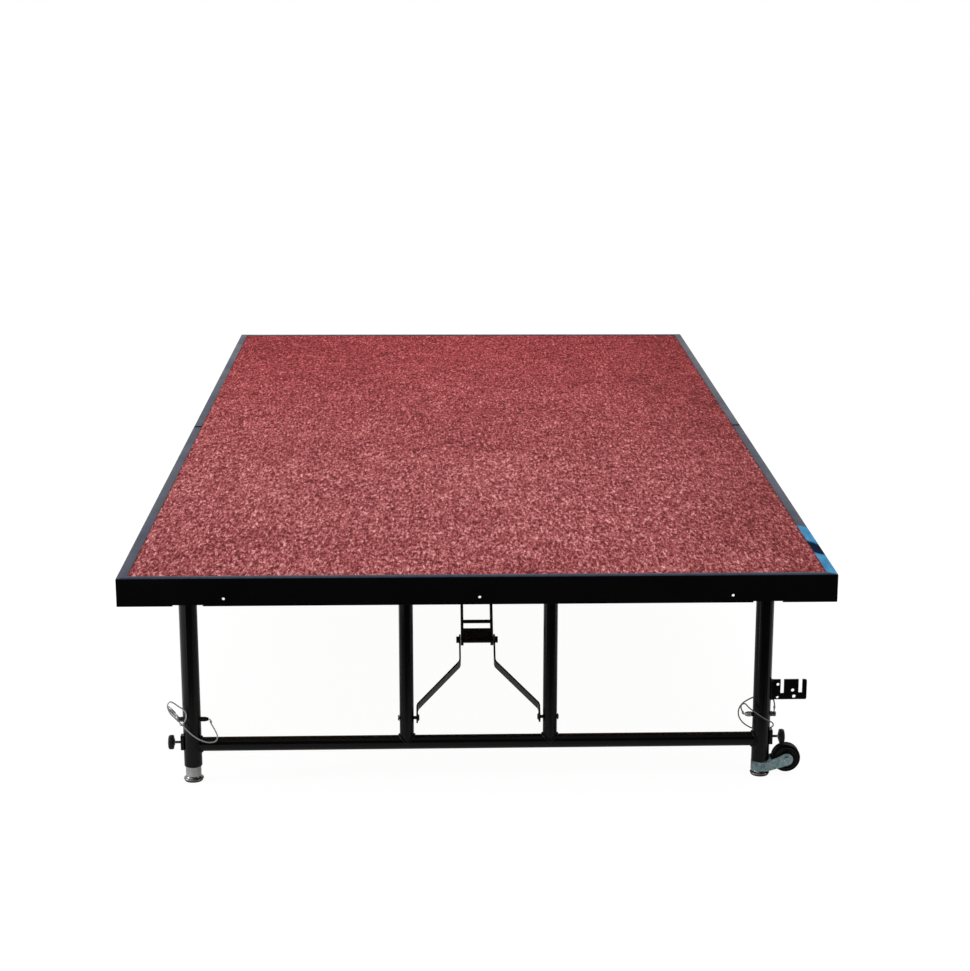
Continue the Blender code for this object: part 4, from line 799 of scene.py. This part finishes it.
def tube_on_leg(x, way, y, z):
    """Where a level tube meets the leg: way is the side of the leg it is on."""
    path = []
    for i in range(44):
        angle = 2 * math.pi * i / 44
        a = (TUBE_R + WELD_LIFT) * math.cos(angle)
        b = (TUBE_R + WELD_LIFT) * math.sin(angle)
        reach = math.sqrt((LEG_R + WELD_LIFT) ** 2 - a * a)
        path.append((x + way * reach, y + a, z + b))
    return path


def strut_on_tube(x, y, z, up):
    path = []
    for i in range(40):
        angle = 2 * math.pi * i / 40
        a = (TUBE_R + WELD_LIFT) * math.cos(angle)
        b = (TUBE_R + WELD_LIFT) * math.sin(angle)
        height = math.sqrt((TUBE_R + 1.5 * WELD_LIFT) ** 2 - b * b)
        path.append((x + a, y + b, z + up * height))
    return path


def make_welds():
    seed = 1
    for end_name, end in ENDS.items():
        body = "leg_frame_" + end_name
        y = end * LEG_Y
        for side_name, side in SIDES.items():
            label = "%s_%s" % (end_name, side_name)
            for place, z, way in (
                ("cross", CROSS_Z, -side),
                ("hinge_in", HINGE_Z, -side),
                ("hinge_out", HINGE_Z, side),
            ):
                path = tube_on_leg(side * LEG_X, way, y, z)
                bead("weld_%s_%s" % (place, label), path, WELD_R, body, True, seed)
                seed += 1
            for place, z, up in (("strut_foot", CROSS_Z, 1), ("strut_head", HINGE_Z, -1)):
                path = strut_on_tube(side * STRUT_X, y, z, up)
                bead("weld_%s_%s" % (place, label), path, WELD_R, body, True, seed)
                seed += 1
        # Link plate's flange, welded up both of its long edges.
        low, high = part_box("link_plate_" + end_name)
        off = 0.0070 + 0.0004
        reach = math.sqrt((LEG_R + WELD_LIFT) ** 2 - off * off)
        for k, way in enumerate((-1, 1)):
            path = []
            for i in range(24):
                z = low.z + 0.002 + i / 23 * (high.z - low.z - 0.004)
                path.append((LEG_X + reach, y + way * off, z))
            bead("weld_plate_%s_%d" % (end_name, k), path, 0.0014, body, False, seed)
            seed += 1


make_welds()


# Feet, knobs, wheels and pins with their full roundness


def make_foot(label, x, y, body):
    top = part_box("foot_" + label)[1].z
    profile = [(0, 0.0026), (0.0160, 0.0026)]
    for i in range(9):
        angle = math.radians(-90 + 22.5 * i)
        profile.append((0.0158 + 0.00185 * math.cos(angle), 0.0046 + 0.0019 * math.sin(angle)))
    profile += [
        (0.0152, 0.0067),
        (0.0145, 0.0074),
        (0.0139, 0.0086),
        (0.0136, 0.0095),
        (0.0112, 0.0095),
        (0.0112, top),
        (0, top),
    ]
    foot = turned("glide_" + label, (x, y, 0), (0, 0, 1), profile, 64, CHROME, body, 40)
    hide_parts("foot_" + label)
    profile = [(0, 0), (0.0146, 0), (0.0154, 0.0003), (0.0161, 0.0010), (0.0163, 0.0020)]
    profile += [(0.0160, 0.0027), (0, 0.0027)]
    pad = turned("glide_pad_" + label, (x, y, 0), (0, 0, 1), profile, 64, RUBBER, body, 40)


def make_knob(label, x, y, side, body):
    def flute(radius, angle):
        if radius < 0.0095:
            return radius
        depth = 0.0012 * min(1.0, (radius - 0.0090) / 0.003)
        return radius - depth * (0.5 - 0.5 * math.cos(12 * angle)) ** 0.7

    centre, axis = (x, y, KNOB_Z), (side, 0, 0)
    near, far = 0.0312, 0.0427
    profile = [
        (0.0, near + 0.0001),
        (0.0060, near + 0.0001),
        (0.0064, near + 0.0012),
        (0.0100, near + 0.0014),
        (0.0120, near + 0.0018),
        (0.0128, near + 0.0028),
        (0.0130, near + 0.0042),
        (0.0130, far - 0.0042),
        (0.0128, far - 0.0028),
        (0.0120, far - 0.0014),
        (0.0105, far - 0.0006),
        (0.0080, far - 0.0004),
        (0.0074, far - 0.0011),
        (0.0068, far - 0.0011),
        (0.0062, far - 0.0003),
        (0.0, far - 0.0001),
    ]
    knob = turned("knob_" + label, centre, axis, profile, 96, PLASTIC, body, 50, flute)
    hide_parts("clamp_knob_" + label)
    # Threaded shank, cut as close-set ridges.
    profile = [(0.0, 0.0141), (0.0021, 0.0141)]
    along = 0.0146
    while along < 0.0304:
        profile += [(0.0025, along), (0.0021, along + 0.0005)]
        along += 0.0010
    profile += [(0.0025, 0.0308), (0.0025, near + 0.002), (0.0, near + 0.002)]
    shank = turned("knob_screw_" + label, centre, axis, profile, 32, FERRULE, body, 30)


def make_wheel(end_name, y):
    body = "lift_wheel_" + end_name
    centre, axis = (WHEEL_X, y, WHEEL_Z), (0, 1, 0)
    half, shoulder = WHEEL_HALF, 0.0040
    right = [(0.0168, half - 0.0006), (0.0176, half - 0.0001), (0.0190, half)]
    right += [(0.0197, half - 0.0005), (0.0203, half)]
    for i in range(9):
        angle = math.radians(90 - 11.25 * i)
        out, across = shoulder * math.cos(angle), shoulder * math.sin(angle)
        right.append((WHEEL_R - shoulder + out, half - shoulder + across))
    for at in (0.0036, 0.0):
        right += [(WHEEL_R, at + 0.0006), (WHEEL_R - 0.0005, at + 0.0002)]
    profile = [(0.0166, -half + 0.003)] + [(r, -t) for r, t in right]
    profile += [(r, t) for r, t in reversed(right)] + [(0.0166, half - 0.003)]
    tyre = turned("tyre_" + end_name, centre, axis, profile, 96, RUBBER, body, 40)
    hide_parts("lift_wheel_" + end_name)
    side = [
        (0.0033, half - 0.0002),
        (0.0062, half - 0.0002),
        (0.0068, half - 0.0010),
        (0.0070, half - 0.0028),
        (0.0130, half - 0.0030),
        (0.0140, half - 0.0024),
        (0.0150, half - 0.0006),
        (0.0160, half - 0.0003),
        (0.0167, half - 0.0008),
        (0.0167, half - 0.0030),
    ]
    profile = [(r, -t) for r, t in side] + [(r, t) for r, t in reversed(side)]
    hub = turned("wheel_hub_" + end_name, centre, axis, profile, 96, PLASTIC, body)


def make_pin(label, side, y, end, body):
    x = side * LEG_X
    profile = [
        (0.0, 0.0141),
        (0.0033, 0.0141),
        (0.00395, 0.0150),
        (0.00395, 0.0163),
        (0.0044, 0.0163),
        (0.00475, 0.0168),
        (0.00475, 0.0188),
        (0.0041, 0.0194),
        (0.0041, 0.0206),
        (0.00475, 0.0212),
        (0.00475, 0.0244),
        (0.0044, 0.0252),
        (0.0034, 0.0257),
        (0.0, 0.0257),
    ]
    pin = turned("pin_" + label, (x, y, PIN_Z), (side, 0, 0), profile, 40, STEEL, body)
    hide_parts("height_pin_" + label)
    if side > 0:
        return
    # A split ring: nearly two turns of wire, wound flat.
    radius = (0.0325 - 0.0022) / 2
    lean, tilt = math.radians(52), math.radians(66)
    long_way = Vector((-math.cos(lean), 0.0, math.sin(lean)))
    flat_way = Vector((math.sin(lean), 0.0, math.cos(lean)))
    short_way = flat_way * math.cos(tilt) + Vector((0.0, end * math.sin(tilt), 0.0))
    normal = long_way.cross(short_way).normalized()
    centre = Vector((x + side * 0.022175, y, PIN_Z)) + long_way * radius
    path = []
    turns, steps = 1.94, 180
    for i in range(steps + 1):
        angle = 2 * math.pi * turns * i / steps + 1.9
        drift = normal * 0.0009 * math.tanh((i / steps - 0.5) * 14)
        spoke = (long_way * math.cos(angle) + short_way * math.sin(angle)) * radius
        path.append(centre + spoke + drift)
    bm = bmesh.new()
    sweep(bm, path, 0.00085, 10)
    ring = add("pull_ring_" + label, bm, RING, body, 40)


def make_ferrule(end_name, y):
    """Bright crimped sleeve over the wire's anchor on the right legs."""
    near, far = LEG_R + 0.0028, LEG_R + 0.0138
    profile = [(0.0, near), (0.00455, near), (0.00480, near + 0.0005), (0.00480, near + 0.0016)]
    profile += [(0.00445, near + 0.0021), (0.00445, near + 0.0030), (0.00480, near + 0.0035)]
    profile += [(0.00475, near + 0.0052), (0.00425, near + 0.0072), (0.0034, far - 0.0008)]
    profile += [(0.0028, far), (0.0, far)]
    body = "leg_frame_" + end_name
    centre, axis = (LEG_X, y, PIN_Z), (-1, 0, 0)
    ferrule = turned("ferrule_" + end_name, centre, axis, profile, 40, FERRULE, body)


def make_washers(end_name, y):
    """Washers on the axle bolt, outside the strap's cheeks."""
    body = "inner_leg_%s_right" % end_name
    rings = ((0.0031, 0.0), (0.0058, 0.0), (0.0061, 0.0003), (0.0061, 0.0009), (0.0031, 0.0011))
    profile = [(radius, STRAP_CHEEK_Y + along) for radius, along in rings]
    centre = (WHEEL_X, y, WHEEL_Z)
    for label, way in (("front", -1), ("back", 1)):
        name = "axle_washer_%s_%s" % (end_name, label)
        washer = turned(name, centre, (0, way, 0), profile, 48, STRAP_ZINC, body)


for end_name, end in ENDS.items():
    y = end * LEG_Y
    make_wheel(end_name, y)
    make_washers(end_name, y)
    make_ferrule(end_name, y)
    for side_name, side in SIDES.items():
        label = "%s_%s" % (end_name, side_name)
        make_foot(label, side * LEG_X, y, "inner_leg_" + label)
        make_knob(label, side * LEG_X, y, side, "clamp_knob_" + label)
        make_pin(label, side, y, end, "height_pin_" + label)


# Wire lanyards


LANYARD_LEFT = (
    (-0.0304, 0.0000, 0.0000),
    (-0.0323, 0.0007, -0.0013),
    (-0.0341, 0.0030, -0.0075),
    (-0.0408, 0.0080, -0.0183),
    (-0.0454, 0.0125, -0.0288),
    (-0.0428, 0.0160, -0.0351),
    (-0.0351, 0.0185, -0.0368),
    (-0.0257, 0.0200, -0.0355),
    (-0.0146, 0.0210, -0.0306),
    (-0.0018, 0.0215, -0.0213),
    (0.0091, 0.0215, -0.0100),
    (0.0183, 0.0213, 0.0010),
    (0.0267, 0.0213, 0.0096),
    (0.0342, 0.0213, 0.0181),
    (0.0383, 0.0213, 0.0270),
    (0.0387, 0.0213, 0.0351),
    (0.0343, 0.0213, 0.0399),
    (0.0281, 0.0213, 0.0376),
    (0.0200, 0.0200, 0.0308),
    (0.0122, 0.0190, 0.0248),
    (0.0080, 0.0185, 0.0173),
    (0.0080, 0.0180, 0.0088),
    (0.0118, 0.0165, -0.0002),
    (0.0180, 0.0110, -0.0066),
    (0.0205, 0.0048, -0.0066),
)
LANYARD_RIGHT = (
    (0.0225, 0.0000, 0.0058),
    (0.0234, -0.0030, 0.0111),
    (0.0237, -0.0080, 0.0176),
    (0.0215, -0.0150, 0.0246),
    (0.0132, -0.0205, 0.0281),
    (0.0005, -0.0215, 0.0286),
    (-0.0104, -0.0200, 0.0254),
    (-0.0227, -0.0150, 0.0216),
    (-0.0334, -0.0090, 0.0167),
    (-0.0400, -0.0040, 0.0089),
    (-0.0414, 0.0000, -0.0001),
    (-0.0353, -0.0070, -0.0146),
    (-0.0246, -0.0140, -0.0262),
    (-0.0113, -0.0190, -0.0344),
    (0.0028, -0.0215, -0.0379),
    (0.0150, -0.0190, -0.0349),
    (0.0213, -0.0110, -0.0290),
    (0.0224, -0.0030, -0.0226),
    (0.0190, 0.0060, -0.0148),
    (0.0085, 0.0176, -0.0060),
    (-0.0045, 0.0185, 0.0024),
    (-0.0165, 0.0195, 0.0112),
    (-0.0255, 0.0180, 0.0182),
    (-0.0327, 0.0150, 0.0247),
    (-0.0381, 0.0110, 0.0208),
    (-0.0377, 0.0070, 0.0126),
    (-0.0344, 0.0032, 0.0055),
    (-0.0326, 0.0009, 0.0005),
    (-0.0303, 0.0000, 0.0000),
)


def smooth_route(points, step):
    """Evenly spaced points along a centripetal curve through the route's own points."""
    points = [np.array(p, float) for p in points]
    points = [2 * points[0] - points[1]] + points + [2 * points[-1] - points[-2]]
    dense = []
    for p0, p1, p2, p3 in zip(points, points[1:], points[2:], points[3:]):
        t0 = 0.0
        t1 = t0 + math.sqrt(np.linalg.norm(p1 - p0))
        t2 = t1 + math.sqrt(np.linalg.norm(p2 - p1))
        t3 = t2 + math.sqrt(np.linalg.norm(p3 - p2))
        for t in np.linspace(t1, t2, 16, endpoint=False):
            a1 = (t1 - t) / (t1 - t0) * p0 + (t - t0) / (t1 - t0) * p1
            a2 = (t2 - t) / (t2 - t1) * p1 + (t - t1) / (t2 - t1) * p2
            a3 = (t3 - t) / (t3 - t2) * p2 + (t - t2) / (t3 - t2) * p3
            b1 = (t2 - t) / (t2 - t0) * a1 + (t - t0) / (t2 - t0) * a2
            b2 = (t3 - t) / (t3 - t1) * a2 + (t - t1) / (t3 - t1) * a3
            dense.append((t2 - t) / (t2 - t1) * b1 + (t - t1) / (t2 - t1) * b2)
    dense.append(points[-2])
    dense = np.array(dense)
    lengths = np.linalg.norm(np.diff(dense, axis=0), axis=1)
    along = np.concatenate([[0.0], np.cumsum(lengths)])
    count = int(round(along[-1] / step)) + 1
    at = np.linspace(0.0, along[-1], count)
    points = np.stack([np.interp(at, along, dense[:, k]) for k in range(3)], axis=1)
    return points, float(along[-1])


def make_lanyard(end_name, end, side_name, side):
    points, length = smooth_route(LANYARD_LEFT if side < 0 else LANYARD_RIGHT, 0.0021)
    label = "%s_%s" % (end_name, side_name)
    body = "leg_frame_" + end_name
    curve = bpy.data.curves.new("wire_" + label, "CURVE")
    curve.dimensions = "3D"
    curve.bevel_depth = 0.0012
    curve.bevel_resolution = 3
    curve.use_fill_caps = True
    spline = curve.splines.new("POLY")
    spline.points.add(len(points) - 1)
    route = []
    for point, (out, ahead, up) in zip(spline.points, points):
        place = Vector((side * (LEG_X + out), end * (LEG_Y + ahead), PIN_Z + up))
        point.co = (*place, 1.0)
        route.append(place)
    wire = bpy.data.objects.new("wire_" + label, curve)
    scene.collection.objects.link(wire)
    curve.materials.append(WIRE if side < 0 else DARK_WIRE)
    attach(wire, body)
    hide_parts("lanyard_" + label)
    # Pressed sleeves near both ends.
    for k, at in enumerate((2, len(route) - 5)):
        a, b = route[at], route[at + 2]
        reach = (b - a).length
        profile = (
            (0.00112, -0.0002),
            (0.0017, -0.0002),
            (0.0020, 0.0003),
            (0.0020, reach - 0.0003),
            (0.0017, reach + 0.0002),
            (0.00112, reach + 0.0002),
        )
        name = "wire_sleeve_%s_%d" % (label, k)
        sleeve = turned(name, a, b - a, profile, 24, ZINC, body, 40)


for end_name, end in ENDS.items():
    for side_name, side in SIDES.items():
        make_lanyard(end_name, end, side_name, side)


# Finishes and softened edges of the parts that stay as they are


def soften(obj, width):
    weld = obj.modifiers.new("weld", "WELD")
    weld.merge_threshold = 0.000002
    bevel = obj.modifiers.new("edge", "BEVEL")
    bevel.width = width
    bevel.segments = 2
    bevel.limit_method = "ANGLE"
    bevel.angle_limit = math.radians(40)
    bevel.harden_normals = True


FINISHES = (
    ("deck_panel", PLYWOOD, 0.0),
    ("inner_leg", ZINC, 0.0004),
    ("wheel_strap", STRAP_ZINC, 0.0004),
    ("splice_plate", PAINT, 0.0004),
    ("cross_member", PAINT, 0.0004),
    ("hinge_member", PAINT, 0.0004),
    ("brace_member", PAINT, 0.0004),
    ("hinge_tube", PAINT, 0.0004),
    ("cross_tube", PAINT, 0.0),
    ("link_plate", PAINT, 0.0004),
    ("outer_leg", PAINT, 0.0003),
    ("strut", PAINT, 0.0),
    ("lower_arm", PAINT, 0.0004),
    ("upper_brace", PAINT, 0.0004),
)
for name, obj in nodes.items():
    if obj.hide_render:
        continue
    for start, material, width in FINISHES:
        if name.startswith(start):
            obj.data.materials.clear()
            obj.data.materials.append(material)
            if width:
                soften(obj, width)


# Floor, background and light


FLOOR_GREY = 0.80


def make_floor():
    bm = bmesh.new()
    bmesh.ops.create_grid(bm, x_segments=1, y_segments=1, size=60.0)
    floor = solid("floor", bm)
    floor.location.z = -0.0004
    material = bpy.data.materials.new("floor_finish")
    material.use_nodes = True
    n = Nodes(material.node_tree)
    camera, mirrored = n.rays()
    # Painted light and shade in reflections: the floor is dark in front, paler further back and
    # white on the left.
    place = n.tree.nodes.new("ShaderNodeTexCoord").outputs["Object"]
    near = n.along(place, (0.10, -0.99, 0.0), 1.14, 1.62, 1.0, 0.0)
    beside = n.along(place, (-1.0, 0.35, 0.0), 0.12, 0.62, 0.0, 1.0)
    lit = n.math("MAXIMUM", n.math("MULTIPLY", near, 0.16), beside)
    shade = n.blend(n.math("MAXIMUM", near, beside), 0.05, FLOOR_GREY)
    matte = n.tree.nodes.new("ShaderNodeBsdfDiffuse")
    n.put(matte.inputs["Color"], n.blend(mirrored, FLOOR_GREY, shade))
    glow = n.tree.nodes.new("ShaderNodeEmission")
    glow.inputs["Strength"].default_value = 1.1
    mix = n.tree.nodes.new("ShaderNodeMixShader")
    n.put(mix.inputs[0], n.blend(camera, n.math("MULTIPLY", mirrored, lit), 0.86))
    n.put(mix.inputs[1], matte.outputs[0])
    n.put(mix.inputs[2], glow.outputs[0])
    out = n.tree.nodes.new("ShaderNodeOutputMaterial")
    n.put(out.inputs[0], mix.outputs[0])
    floor.data.materials.append(material)


def make_world():
    world = bpy.data.worlds.new("studio")
    scene.world = world
    world.use_nodes = True
    n = Nodes(world.node_tree)
    camera, mirrored = n.rays()
    # The studio is white behind and to the left, and dark in front and to the right.
    place = n.tree.nodes.new("ShaderNodeTexCoord").outputs["Generated"]
    room = n.along(place, (0.70, -0.68, -0.22), -0.12, 0.46, 1.0, 0.05)
    background = n.tree.nodes.new("ShaderNodeBackground")
    background.inputs["Color"].default_value = (1, 1, 1, 1)
    n.put(background.inputs["Strength"], n.blend(camera, n.blend(mirrored, 0.55, room), 1.0))
    out = n.tree.nodes.new("ShaderNodeOutputWorld")
    n.put(out.inputs[0], background.outputs[0])


def lamp(name, place, target, size, power):
    data = bpy.data.lights.new(name, "AREA")
    data.shape = "RECTANGLE"
    data.size, data.size_y = size
    data.energy = power
    obj = bpy.data.objects.new(name, data)
    scene.collection.objects.link(obj)
    obj.location = place
    obj.rotation_mode = "QUATERNION"
    obj.rotation_quaternion = (Vector(target) - Vector(place)).to_track_quat("-Z", "Y")


make_floor()
make_world()
lamp("overhead", (-0.2, 0.3, 4.2), (-0.1, 0.2, 0.3), (3.6, 4.6), 92)
lamp("left_strip", (-4.2, -1.6, 1.3), (0.0, -1.1, 0.2), (1.0, 2.2), 60)
lamp("right_strip", (4.0, -2.6, 1.5), (0.0, -1.1, 0.2), (0.7, 2.0), 22)

scene.view_settings.view_transform = "Standard"

bpy.context.view_layer.update()
